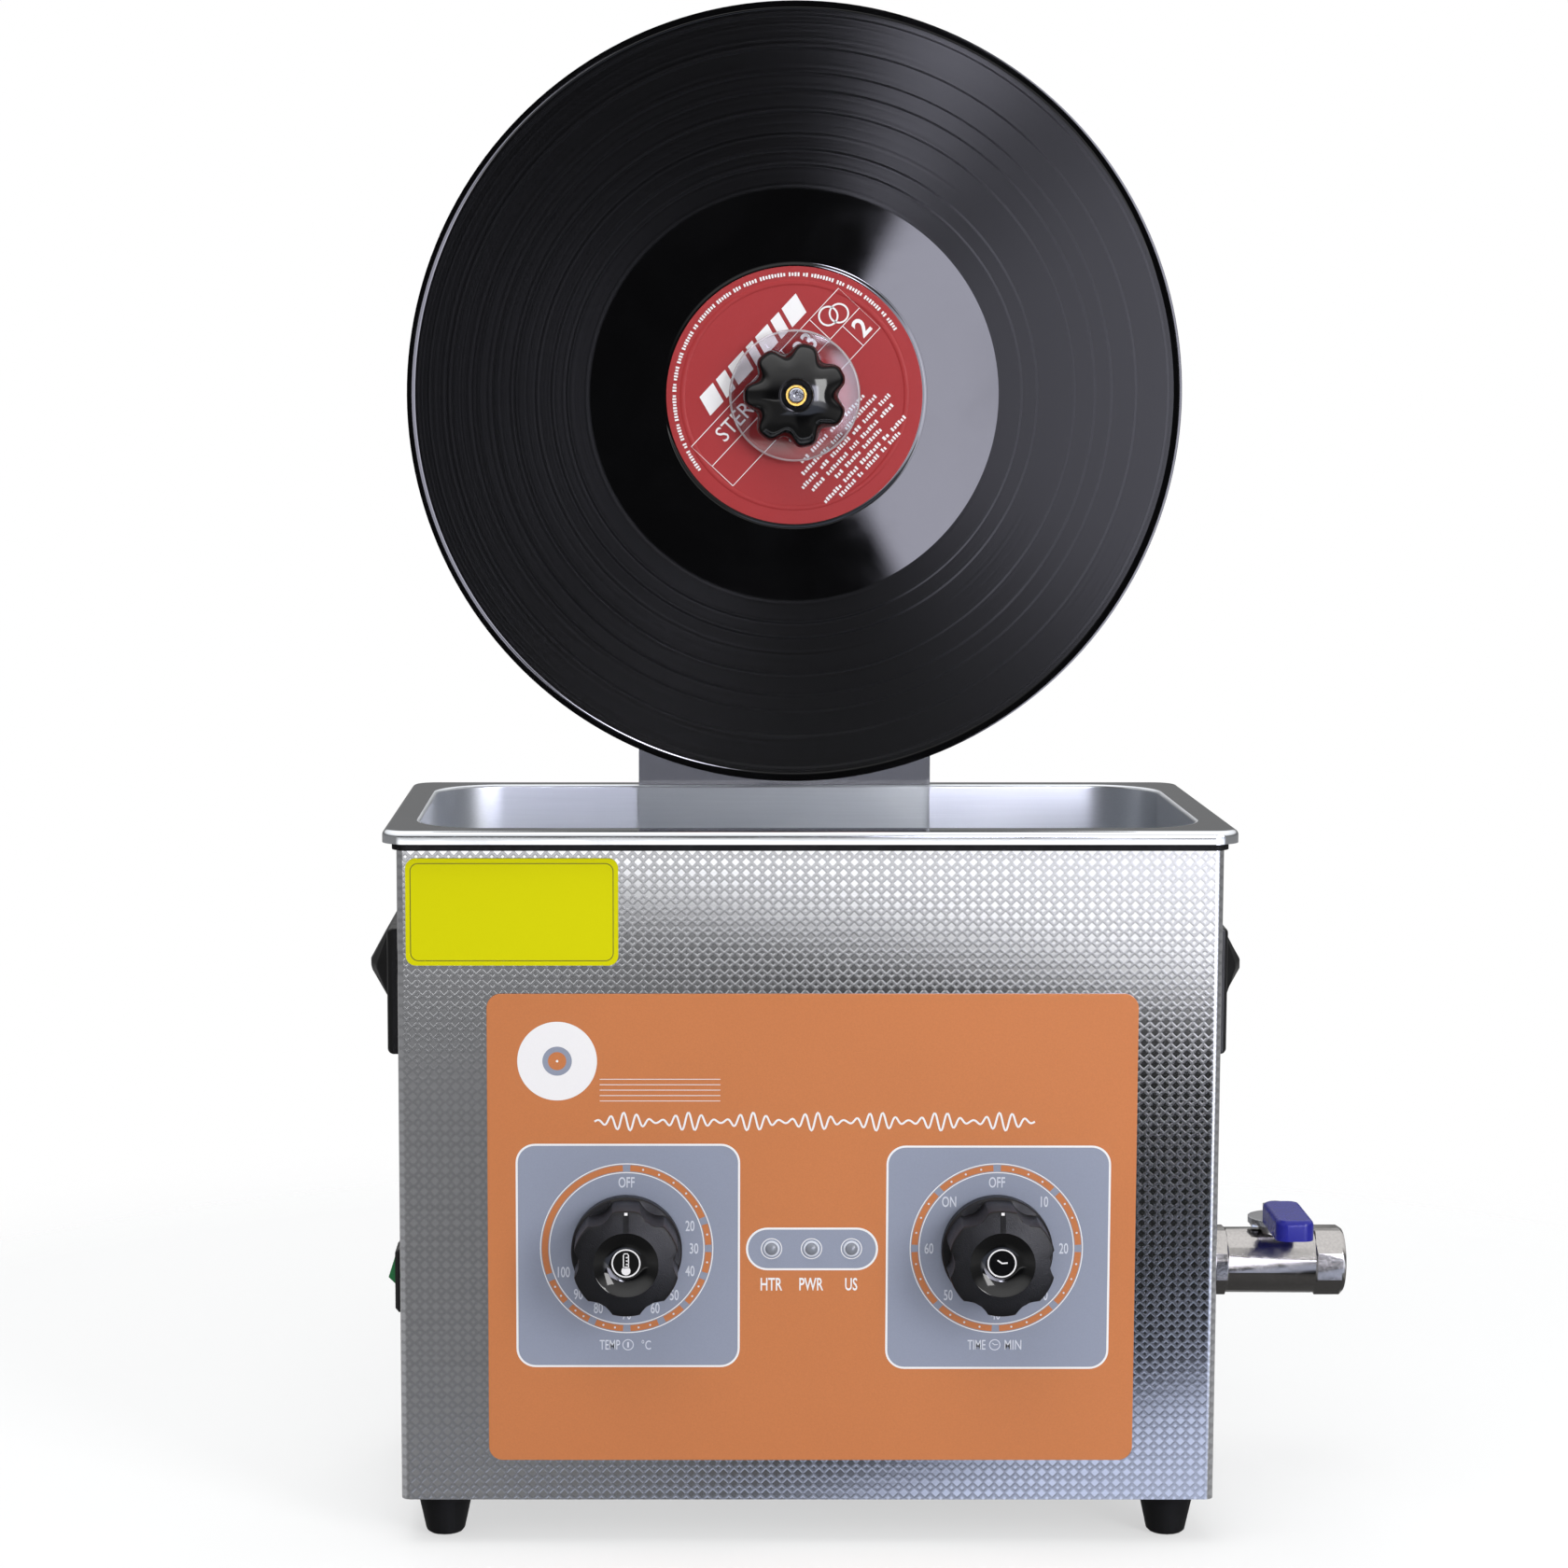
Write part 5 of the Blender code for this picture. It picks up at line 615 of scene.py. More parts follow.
# The edge is paler than the clear acrylic: partly the milky sawn edge, partly a painted highlight for its bright rings.
milky_edge_and_painted_glint, tree, shader = finish("milky_edge_and_painted_glint", (0.8, 0.78, 0.82, 1), 0.2, Transmission_Weight=0.7, IOR=1.49)
emboss(tree, shader, effect(tree, FINE_GRAIN, Size=0.3 * MM, Contrast=1.0)["Height"], 0.03 * MM)
print("acrylic:", clear_acrylic.name, clear_sheet.name, smoked_sheet.name, milky_edge_and_painted_glint.name)

# %% [markdown]
# A record shines in two ways. Its smooth run-out is a black mirror. Its grooves spread light only
# across their run, which draws the long wedges of light that turn with the disc. Thousands of
# grooves would never render cleanly, so the shader itself spreads the light, along a tangent that
# runs round the spindle. The gaps between the tracks are smoother, and thin paler rings are
# painted on them as well, a painted sheen.

# %% Mix the vinyl
VINYL = colour(6, 6, 7)
smooth_vinyl, tree, shader = finish("smooth_vinyl", VINYL, 0.05, IOR=1.55)
smudges = effect(tree, HANDLED, Size=0.05)
roughen(tree, shader, smudges["Tone"], 0.02, 0.05)
tint(tree, shader, VINYL, sums(tree, "SUBTRACT", smudges["Tone"], 0.5), 0.4)

grooved_vinyl, tree, shader = finish(
    "grooved_vinyl", VINYL, 0.2, IOR=1.55, Anisotropic=0.85, Anisotropic_Rotation=0.25, Specular_IOR_Level=0.16
)
radial = put(tree, "ShaderNodeTangent", direction_type="RADIAL", axis="Y")
tree.links.new(radial.outputs[0], shader.inputs["Tangent"])
where = put(tree, "ShaderNodeSeparateXYZ", {0: put(tree, "ShaderNodeTexCoord").outputs["Object"]}).outputs
ground = put(tree, "ShaderNodeCombineXYZ", {0: where["X"], 1: where["Z"]})
ring_radius = put(tree, "ShaderNodeVectorMath", {0: ground.outputs[0]}, operation="LENGTH").outputs["Value"]
TRACK_GAPS = (0.0885, 0.0945, 0.109, 0.117, 0.1235, 0.133, 0.1455)
GAP_HALF = 0.00035
gaps = 0.0
for gap in TRACK_GAPS:
    away = sums(tree, "ABSOLUTE", sums(tree, "SUBTRACT", ring_radius, gap))
    gaps = sums(tree, "MAXIMUM", spread(tree, away, GAP_HALF * 0.5, GAP_HALF * 2, 1.0, 0.0), gaps)
fine_rings = {"W": ring_radius, "Scale": 900.0, "Detail": 6.0}
rings = put(tree, "ShaderNodeTexNoise", fine_rings, noise_dimensions="1D").outputs["Fac"]
# The gaps are painted paler than the grooves: a painted sheen, since the vinyl there is as black as elsewhere.
painted_gap_sheen = sums(tree, "MULTIPLY", gaps, 2.0)
tint(tree, shader, VINYL, sums(tree, "ADD", sums(tree, "SUBTRACT", rings, 0.5), painted_gap_sheen), 1.6)
tree.links.new(
    sums(tree, "MULTIPLY_ADD", gaps, -0.08, spread(tree, rings, 0.3, 0.7, 0.13, 0.18)), shader.inputs["Roughness"]
)
print("track gaps:", len(TRACK_GAPS))

# %% [markdown]
# Forms are made from a few families: turned ones such as knobs and discs, sheets with a rounded
# outline, and prints that lie on a face. Each family is a short function that returns points and
# faces, so that several forms can be joined in one piece before Blender makes it an object.

# %% Turn a section round an axis
def stand(axis):
    """Right and up directions for looking against an axis."""
    axis = Vector(axis).normalized()
    helper = Z if abs(axis.z) < 0.9 else Y
    right = helper.cross(axis).normalized()
    return right, axis.cross(right), axis


def turned(section, centre, axis, sides=96, reach=None):
    """Rings of (radius, height) round an axis; reach may change a radius by its angle."""
    right, up, forward = stand(axis)
    points, rows, faces = [], [], []
    for radius, height in section:
        count = 1 if radius == 0 else sides
        rows.append((len(points), count))
        for index in range(count):
            angle = index / sides * math.tau
            wide = reach(angle, radius, height) if reach and radius else radius
            points.append(centre + right * wide * math.cos(angle) + up * wide * math.sin(angle) + forward * height)
    for (first, count), (second, other) in zip(rows, rows[1:]):
        for index in range(sides):
            after = (index + 1) % sides
            if count == 1:
                faces.append((first, second + index, second + after))
            elif other == 1:
                faces.append((first + index, second, first + after))
            else:
                faces.append((first + index, second + index, second + after, first + after))
    return points, faces


print("turned forms ready")

# %% [markdown]
# Sheets, plates and pads share one outline at several heights, drawn in a little at their edges.
# A box with a bevel would do for straight ones, but the same stack of outlines also serves round
# corners of any radius, and its edge can be as fine as the real one.

# %% Stack outlines into a sheet
def rounded(width, height, radius, steps=10):
    """A rectangle's outline with round corners, about its middle."""
    points = []
    for quarter, (x, y) in enumerate(((1, 1), (-1, 1), (-1, -1), (1, -1))):
        for step in range(steps + 1):
            angle = (quarter + step / steps) * math.pi / 2
            points.append((
                x * (width / 2 - radius) + radius * math.cos(angle),
                y * (height / 2 - radius) + radius * math.sin(angle),
            ))
    return points


def stacked(outlines, centre, axis, closed=True):
    """Joins outlines of as many points, each with its height, and closes both ends."""
    right, up, forward = stand(axis)
    count = len(outlines[0][0])
    points = [centre + right * x + up * y + forward * h for outline, h in outlines for x, y in outline]
    faces = []
    for level in range(len(outlines) - 1):
        for index in range(count):
            after = (index + 1) % count
            low, high = level * count, (level + 1) * count
            faces.append((low + index, low + after, high + after, high + index))
    if closed:
        faces.append(tuple(reversed(range(count))))
        faces.append(tuple(range(len(points) - count, len(points))))
    return points, faces


def plate(width, height, radius, thickness, edge, centre, axis):
    """A plate with round corners and a small round edge at its front."""
    levels = [(rounded(width, height, radius), 0.0), (rounded(width, height, radius), thickness - edge)]
    for step in range(1, 4):
        angle = step / 3 * math.pi / 2
        inset = edge * (1 - math.cos(angle))
        levels.append((
            rounded(width - 2 * inset, height - 2 * inset, max(radius - inset, radius / 2)),
            thickness - edge + edge * math.sin(angle),
        ))
    return stacked(levels, centre, axis)


print("sheet forms ready")

# %% [markdown]
# The last step of each form is the same: points and faces become a mesh, the mesh gets its finish,
# the object is told which body it moves with, and the CAD nodes it stands for are hidden. Faces from
# several forms may carry different finishes in one piece.

# %% Make a piece
SHARP = math.radians(32)


def make_piece(name, forms, finishes, body, stands_for=(), origin=None, closed=True):
    """One object from (points, faces) forms; each form takes the finish at its place in the list."""
    origin = origin or Vector((0, 0, 0))
    points, faces, marks = [], [], []
    for mark, (form_points, form_faces) in enumerate(forms):
        shift = len(points)
        points += [tuple(Vector(p) - origin) for p in form_points]
        faces += [tuple(index + shift for index in face) for face in form_faces]
        marks += [min(mark, len(finishes) - 1)] * len(form_faces)
    mesh = bpy.data.meshes.new(name)
    mesh.from_pydata(points, [], faces)
    for material in finishes:
        mesh.materials.append(material)
    mesh.polygons.foreach_set("material_index", marks)
    if closed:
        work = bmesh.new()
        work.from_mesh(mesh)
        bmesh.ops.recalc_face_normals(work, faces=work.faces)
        work.to_mesh(mesh)
        work.free()
    mesh.shade_smooth()
    mesh.set_sharp_from_angle(angle=SHARP)
    piece = bpy.data.objects.new(name, mesh)
    piece.location = origin
    if closed:
        flatten = piece.modifiers.new("flat_faces_stay_flat", "WEIGHTED_NORMAL")
        flatten.keep_sharp = True
    bpy.context.scene.collection.objects.link(piece)
    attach(piece, body)
    if stands_for:
        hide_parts(*stands_for)
    return piece


print("pieces can be made")

# %% [markdown]
# Prints are flat shapes that lie a few hundredths of a millimetre above their surface: rings,
# bars, lines and letters. They could be mixed into the panel's colour with nodes, but as thin
# shapes they stay sharp at any distance and can follow the outline of a real letter.

# %% Draw flat prints
def ring_print(radius, width, start=0.0, end=math.tau, steps=96):
    """A flat ring, or a part of it, round the middle."""
    points, faces = [], []
    for step in range(steps + 1):
        angle = start + (end - start) * step / steps
        for reach in (radius - width / 2, radius + width / 2):
            points.append((reach * math.cos(angle), reach * math.sin(angle)))
    for step in range(steps):
        first = step * 2
        faces.append((first, first + 1, first + 3, first + 2))
    return points, faces


def line_print(route, width):
    """A flat line of one width along a route."""
    points, faces = [], []
    for index, here in enumerate(route):
        before = Vector(route[max(index - 1, 0)])
        after = Vector(route[min(index + 1, len(route) - 1)])
        side = (after - before).normalized() * width / 2
        points += [(here[0] - side.y, here[1] + side.x), (here[0] + side.y, here[1] - side.x)]
    for index in range(len(route) - 1):
        first = index * 2
        faces.append((first, first + 1, first + 3, first + 2))
    return points, faces


def frame_print(outline, width):
    """A closed line along an outline."""
    return line_print([*outline, outline[0]], width)


def area_print(outline):
    """A filled flat shape."""
    return list(outline), [tuple(range(len(outline)))]


def moved(form, shift, turn=0.0, squeeze=1.0):
    """A flat form squeezed sideways, turned and moved."""
    points, faces = form
    cos, sin = math.cos(turn), math.sin(turn)
    placed = []
    for x, y in points:
        x = x * squeeze
        placed.append((x * cos - y * sin + shift[0], x * sin + y * cos + shift[1]))
    return placed, faces


def letters(words, height, squeeze=1.0, heavy=0.0):
    """Letters as flat faces about their middle, as high as asked."""
    curve = bpy.data.curves.new("letters", "FONT")
    curve.body = words
    curve.resolution_u = 3
    curve.offset = heavy
    text = bpy.data.objects.new("letters", curve)
    bpy.context.scene.collection.objects.link(text)
    bpy.context.view_layer.update()
    mesh = text.to_mesh()
    points = [(v.co.x, v.co.y) for v in mesh.vertices]
    faces = [tuple(face.vertices) for face in mesh.polygons]
    text.to_mesh_clear()
    bpy.data.objects.remove(text)
    bpy.data.curves.remove(curve)
    low_x, high_x = min(p[0] for p in points), max(p[0] for p in points)
    low_y, high_y = min(p[1] for p in points), max(p[1] for p in points)
    size = height / (high_y - low_y)
    centre_x, centre_y = (low_x + high_x) / 2, (low_y + high_y) / 2
    return [((x - centre_x) * size * squeeze, (y - centre_y) * size) for x, y in points], faces


def laid(forms, centre, axis, lift):
    """Lays flat forms on a surface that faces along the axis."""
    right, up, forward = stand(axis)
    points, faces = [], []
    for form_points, form_faces in forms:
        shift = len(points)
        points += [centre + right * x + up * y + forward * lift for x, y in form_points]
        faces += [tuple(index + shift for index in face) for face in form_faces]
    return points, faces


PRINT_LIFT = 0.03 * MM
print("flat prints ready")

# %% [markdown]
# Many CAD nodes already have the right form: the case, the stand, the switch, everything inside.
# They could be rebuilt, but a finish and a tiny bevel are enough. Their imported faces are split
# apart at each edge, so the points are welded first and the bevel then rounds every sharp edge.

# %% Dress the CAD nodes that stay
def dress(node, material, edge=0.0, slices=2):
    """Gives a CAD node its finish, and a soft edge by modifiers."""
    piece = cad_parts[node]
    mesh = piece.data
    mesh.materials.clear()
    mesh.materials.append(material)
    if "custom_normal" in mesh.attributes:
        mesh.attributes.remove(mesh.attributes["custom_normal"])
    mesh.shade_smooth()
    weld = piece.modifiers.new("weld", "WELD")
    weld.merge_threshold = 0.002 * MM
    if edge:
        bevel = piece.modifiers.new("soft_edge", "BEVEL")
        bevel.width = edge
        bevel.segments = slices
        bevel.limit_method = "ANGLE"
        bevel.angle_limit = SHARP
        bevel.harden_normals = False
    split = piece.modifiers.new("crisp", "EDGE_SPLIT")
    split.split_angle = SHARP
    piece.modifiers.new("flat_faces_stay_flat", "WEIGHTED_NORMAL")
    return piece


FINE = 0.25 * MM
for node, material, edge in (
    ("case_shell", patterned_steel, 0.0),
    ("base_plate", satin_steel, 0.0),
    ("stand_inner_plate", clear_sheet, 0.4 * MM),
    ("stand_outer_plate", smoked_sheet, 0.4 * MM),
    ("stand_bridge", clear_sheet, FINE),
    ("lift_carriage", black_plastic, FINE),
    ("motor_housing", black_plastic, 0.8 * MM),
    ("gear_motor", bright_steel, 0.0),
    ("power_socket", black_plastic, FINE),
    ("drain_pipe", bright_steel, 0.0),
    ("valve_body", plated_brass, FINE),
    ("valve_stem", bright_steel, 0.0),
    ("valve_ball", bright_steel, 0.0),
    ("valve_lever", bright_steel, FINE),
    ("valve_lever_nut", bright_steel, FINE),
    ("power_switch_body", black_plastic, FINE),
    ("power_rocker", green_lens, FINE),
    ("handle_left", black_plastic, 0.7 * MM),
    ("handle_right", black_plastic, 0.7 * MM),
    ("foot_front_left", black_rubber, FINE),
    ("foot_front_right", black_rubber, FINE),
    ("foot_rear_left", black_rubber, FINE),
    ("foot_rear_right", black_rubber, FINE),
    ("mains_inlet", black_plastic, FINE),
    ("fan_frame", black_plastic, FINE),
    ("fan_rotor", black_plastic, 0.0),
    ("generator_board", green_board, 0.0),
    ("heat_sink", aluminium, 0.0),
    ("transformer", copper_winding, FINE),
    ("heater_pad", heater_film, 0.0),
    ("rim_gasket", black_rubber, FINE),
    ("lift_clamp_knob", black_plastic, FINE),
    ("record_spacer", black_plastic, FINE),
    ("spindle", bright_steel, 0.0),
    ("spindle_coupling", aluminium, FINE),
    ("front_washer", bright_steel, 0.0),
    ("stand_screw_left", black_plastic, FINE),
    ("stand_screw_right", black_plastic, FINE),
    ("thermostat_body", black_plastic, FINE),
    ("thermostat_shaft", bright_steel, 0.0),
    ("timer_body", black_plastic, FINE),
    ("timer_shaft", bright_steel, 0.0),
    ("transducer_1", aluminium, 0.0),
    ("transducer_2", aluminium, 0.0),
    ("transducer_3", aluminium, 0.0),
    ("rear_clamp_disc", clear_acrylic, FINE),
):
    dress(node, material, edge)
print("dressed CAD nodes:", len([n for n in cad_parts.values() if n.modifiers]))

# %% [markdown]
# The tank and its rim are one drawn sheet: a lip that hangs over the case, a flat rim, a round
# mouth, and a bowl with round corners and a round floor edge. A box with bevels can't keep those
# radii apart, so the sheet is a stack of rounded outlines from the lip to the floor.

# %% Draw the tank
tank_low, tank_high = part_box("tank")
RIM_WIDTH = tank_high.x - tank_low.x
RIM_DEPTH = tank_high.y - tank_low.y
TANK_DROP = tank_high.z - tank_low.z - 1.0 * MM
RIM_LIP, RIM_CORNER, RIM_ROUND = 5.0 * MM, 10.0 * MM, 2.2 * MM
LEDGE_X, LEDGE_Y = 12.5 * MM, 12.5 * MM
MOUTH_CORNER, MOUTH_ROUND, FLOOR_ROUND = 27.0 * MM, 1.3 * MM, 12.0 * MM
ROUND_STEPS = 8


def tank_outline(draw_in_x, draw_in_y, corner):
    """The tank's outline, drawn in from the rim's width and depth."""
    return rounded(RIM_WIDTH - 2 * draw_in_x, RIM_DEPTH - 2 * draw_in_y, corner, 14)


levels = [(tank_outline(0, 0, RIM_CORNER), -RIM_LIP)]
for step in range(ROUND_STEPS + 1):
    angle = step / ROUND_STEPS * math.pi / 2
    inset = RIM_ROUND * (1 - math.cos(angle))
    levels.append((tank_outline(inset, inset, RIM_CORNER - inset), -RIM_ROUND * (1 - math.sin(angle))))
for step in range(ROUND_STEPS + 1):
    angle = step / ROUND_STEPS * math.pi / 2
    out = MOUTH_ROUND * (1 - math.sin(angle))
    outline = tank_outline(LEDGE_X - out, LEDGE_Y - out, MOUTH_CORNER + out)
    levels.append((outline, -MOUTH_ROUND * (1 - math.cos(angle))))
for step in range(ROUND_STEPS + 1):
    angle = step / ROUND_STEPS * math.pi / 2
    inset = FLOOR_ROUND * (1 - math.cos(angle))
    outline = tank_outline(LEDGE_X + inset, LEDGE_Y + inset, MOUTH_CORNER - inset)
    levels.append((outline, FLOOR_ROUND * (1 - math.sin(angle)) - TANK_DROP))
tank_centre = Vector((middle("tank").x, middle("tank").y, tank_high.z))
rim_form = stacked(levels[:ROUND_STEPS + 3], tank_centre, Z, closed=False)
bowl_points, bowl_faces = stacked(levels[ROUND_STEPS + 2:], tank_centre, Z)
bowl_faces.pop(-2)
tank = make_piece(
    "steel_tank", [rim_form, (bowl_points, bowl_faces)], [rim_steel, tank_steel], "bath", ["tank"],
    closed=False,
)
sheet = tank.modifiers.new("sheet", "SOLIDIFY")
sheet.thickness = 1.0 * MM
sheet.offset = -1.0
lip_edge = tank.modifiers.new("crisp", "EDGE_SPLIT")
lip_edge.split_angle = SHARP
tank.modifiers.new("flat_faces_stay_flat", "WEIGHTED_NORMAL")
print("tank drop", round(TANK_DROP, 4))

# %% [markdown]
# A record is a thin disc with a thick label area, a sunk band of grooves and a round bead at its
# edge. It could be one flat cylinder, but the steps catch the light as thin rings, so both faces
# are turned from one section. The groove band and the smooth bands are separate finishes.

# %% Press the records
LABEL_RADIUS, HOLE_RADIUS = 50.0 * MM, 3.6 * MM
RUN_OUT, GROOVES_END, RECORD_RADIUS = 79.5 * MM, 147.6 * MM, 150.8 * MM
LABEL_HALF, GROOVE_HALF, BEAD_HALF = 1.2 * MM, 0.8 * MM, 1.05 * MM


def press_record(name, node):
    """One record, both faces, with its own origin on the spindle so that its grooves stay round."""
    centre = middle(node)
    forms = []
    for axis in (-Y, Y):
        label = [(HOLE_RADIUS, 0), (HOLE_RADIUS, LABEL_HALF - 0.2 * MM), (HOLE_RADIUS + 0.2 * MM, LABEL_HALF)]
        label += [(LABEL_RADIUS, LABEL_HALF), (LABEL_RADIUS + 0.9 * MM, LABEL_HALF - 0.1 * MM)]
        label += [(LABEL_RADIUS + 1.8 * MM, GROOVE_HALF), (RUN_OUT, GROOVE_HALF)]
        band = [(RUN_OUT, GROOVE_HALF), ((RUN_OUT + GROOVES_END) / 2, GROOVE_HALF), (GROOVES_END, GROOVE_HALF)]
        bead = [(GROOVES_END, GROOVE_HALF), (GROOVES_END + 0.9 * MM, BEAD_HALF - 0.04 * MM)]
        for step in range(7):
            angle = step / 6 * math.pi / 2
            wide = RECORD_RADIUS - BEAD_HALF * (1 - math.sin(math.pi / 2 - angle))
            bead.append((wide, BEAD_HALF * math.cos(angle)))
        forms += [turned(label, centre, axis, 192), turned(band, centre, axis, 192), turned(bead, centre, axis, 192)]
    order = [smooth_vinyl, grooved_vinyl, smooth_vinyl] * 2
    return make_piece(name, forms, order, "spinner", [node], origin=centre)


front_record = press_record("vinyl_record_front", "record_front")
rear_record = press_record("vinyl_record_rear", "record_rear")
print("records:", front_record.name, rear_record.name)

# %% [markdown]
# The paper label is pressed into the vinyl with a raised ring near its edge. Its print is plain:
# a table of thin lines, the side number and the speed, bars in place of words and a ring of
# dashes. The disc stopped with its label turned, so all of the print is turned by one angle.

# %% Print the label
LABEL_TURN = math.radians(47)
LABEL_TOP = LABEL_HALF + 0.02 * MM
RING_AT, RING_HALF, RING_RISE = 43.6 * MM, 1.0 * MM, 0.22 * MM


def box_print(left, right, low, high, slant=0.0):
    """A filled box, or a slanted one."""
    return area_print([(left, low), (right, low), (right + slant, high), (left + slant, high)])


def small_words(length, height, shares):
    """Rows of short strokes in groups, as small print looks from afar."""
    stroke, space, gap = 0.5 * height, 0.32 * height, 1.0 * height
    room = length - gap * (len(shares) - 1)
    forms, start = [], -length / 2
    for share in shares:
        width = room * share / sum(shares)
        count = max(1, round(width / (stroke + space)))
        for index in range(count):
            left = start + index * width / count
            tall = height if (index + share) % 3 else height * 0.75
            forms.append(box_print(left, left + width / count - space, -height / 2, tall - height / 2))
        start += width + gap
    return forms


def label_print():
    """The whole print, unturned, about the label's middle."""
    thin = 0.3 * MM
    left, right_end, low, mid, top = [v * MM for v in (-41.8, 41.8, -6.4, 4.7, 15.8)]
    forms = [frame_print([(left, low), (right_end, low), (right_end, top), (left, top)], thin)]
    forms.append(line_print([(left, mid), (right_end, mid)], thin))
    for x, bottom, height in ((25.3, mid, top), (32.3, low, mid), (9.0, mid, top), (-2.0, low, mid)):
        forms.append(line_print([(x * MM, bottom), (x * MM, height)], thin))
    forms.append(moved(letters("STEREO", 6.2 * MM, 0.9), (-18 * MM, 10.3 * MM)))
    forms.append(moved(letters("33", 7.2 * MM, 0.9, 0.02), (17 * MM, 10.3 * MM)))
    forms.append(moved(letters("2", 7.6 * MM, 1.0, 0.02), (37 * MM, -0.8 * MM)))
    for x, z in ((31.3, 11.4), (34.9, 9.1)):
        forms.append(moved(ring_print(3.6 * MM, 0.7 * MM), (x * MM, z * MM)))
    left = -28.0
    for width in (7.6, 5.2, 8.4, 3.6, 7.0, 4.6, 8.0):
        forms.append(box_print(left * MM, (left + width) * MM, 18.6 * MM, 26.6 * MM, 2.4 * MM))
        left += width + 1.7
    for v, length, shares in (
        (-10.5, 30.0, (3, 5, 2)), (-19.5, 36.0, (2, 4, 3, 5)), (-23.1, 42.0, (5, 2, 6)),
        (-26.7, 50.0, (6, 3, 7, 3, 5, 4)),
        (-30.2, 46.0, (3, 5, 2, 4, 3)), (-33.4, 26.0, (2, 4, 5)), (-36.9, 46.0, (6, 5, 7, 2, 5)),
        (-39.6, 34.0, (7, 2, 6, 2, 5)),
    ):
        forms += [moved(bar, (1.0 * MM, v * MM)) for bar in small_words(length * MM, 1.6 * MM, shares)]
    groups = (5, 2, 7, 6, 3, 8, 2, 4, 9, 5, 3, 6, 8, 2, 7, 4, 5, 3, 9, 6, 2, 8)
    start, letter = math.radians(-14), math.radians(1.42)
    for group in groups:
        for index in range(group):
            tall = 1.5 * MM if (index + group) % 3 else 1.2 * MM
            forms.append(ring_print(46.7 * MM, tall, start, start + letter * 0.62, 2))
            start += letter
        start += letter * 0.8
    return forms


for piece_name, node in (("record_label_front", "record_front"), ("record_label_rear", "record_rear")):
    centre = middle(node)
    paper, ink = [], []
    for axis in (-Y, Y):
        flat = [(HOLE_RADIUS + 0.3 * MM, LABEL_TOP), (RING_AT - RING_HALF, LABEL_TOP)]
        for step in range(1, 6):
            angle = step / 6 * math.pi
            flat.append((RING_AT - RING_HALF * math.cos(angle), LABEL_TOP + RING_RISE * math.sin(angle)))
        flat += [(RING_AT + RING_HALF, LABEL_TOP), (LABEL_RADIUS - 0.3 * MM, LABEL_TOP)]
        flat.append((LABEL_RADIUS, LABEL_TOP - 0.05 * MM))
        paper.append(turned(flat, centre, axis, 160))
        turned_print = [moved(form, (0, 0), LABEL_TURN) for form in label_print()]
        ink.append(laid(turned_print, centre, axis, LABEL_TOP + 0.25 * MM))
    make_piece(piece_name, paper, [red_paper], "spinner", origin=centre)
    make_piece(piece_name + "_print", ink, [white_print], "spinner", origin=centre, closed=False)
print("labels printed at", round(math.degrees(LABEL_TURN)), "degrees")

# %% [markdown]
# A clear disc presses on each side of the records. Its edge is what the eye finds: two bright
# rings with a clear rim between. A disc without a bevel would vanish, so the section has a round
# at both edges, and a hole for the spindle.

# %% Turn the front clamp disc
disc_low, disc_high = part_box("front_clamp_disc")
DISC_RADIUS = (disc_high.x - disc_low.x) / 2
DISC_THICK = disc_high.y - disc_low.y
EDGE = 0.9 * MM
rim_section = []
for step in range(7):
    angle = step / 6 * math.pi / 2
    rim_section.append((DISC_RADIUS - EDGE * (1 - math.sin(angle)), EDGE * (1 - math.cos(angle))))
for step in range(7):
    angle = step / 6 * math.pi / 2
    rim_section.append((DISC_RADIUS - EDGE * (1 - math.cos(angle)), DISC_THICK - EDGE * (1 - math.sin(angle))))
face_section = [(DISC_RADIUS - EDGE, DISC_THICK), (4.0 * MM, DISC_THICK), (4.0 * MM, 0), (DISC_RADIUS - EDGE, 0)]
disc_back = Vector((middle("front_clamp_disc").x, disc_high.y, middle("front_clamp_disc").z))
disc_forms = [turned(face_section, disc_back, -Y, 128), turned(rim_section, disc_back, -Y, 128)]
# The rounded edge takes the paler edge finish, so its bright rings are partly a painted highlight.
clear_disc = make_piece(
    "clear_clamp_disc", disc_forms, [clear_acrylic, milky_edge_and_painted_glint], "spinner", ["front_clamp_disc"]
)
weld = clear_disc.modifiers.new("weld", "WELD")
weld.merge_threshold = 0.002 * MM
print("clear disc radius", round(DISC_RADIUS, 4))

# %% [markdown]
# The lever's sleeve is dipped plastic with soft corners. The CAD block has sharp ones, and a bevel
# can't pass its narrow slot, so the sleeve is cast as one rounded plate round the steel lever.

# %% Cast the lever's sleeve
sleeve_low, sleeve_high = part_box("valve_lever_sleeve")
sleeve_base = Vector(((sleeve_low.x + sleeve_high.x) / 2, (sleeve_low.y + sleeve_high.y) / 2, sleeve_low.z))
sleeve_form = plate(
    sleeve_high.x - sleeve_low.x, sleeve_high.y - sleeve_low.y, 4.5 * MM, sleeve_high.z - sleeve_low.z, 2.2 * MM,
    sleeve_base, Z,
)
make_piece("rounded_lever_sleeve", [sleeve_form], [blue_sleeve], "drain_lever", ["valve_lever_sleeve"])
print("sleeve length", round(sleeve_high.y - sleeve_low.y, 4))

# %% [markdown]
# The star knob is polished plastic with seven lobes. Gears of straight sides would look machined,
# and this one is cast, so each ring of the section swells and draws in with the angle, less so
# towards the dome, where the lobes run out into a smooth crown.

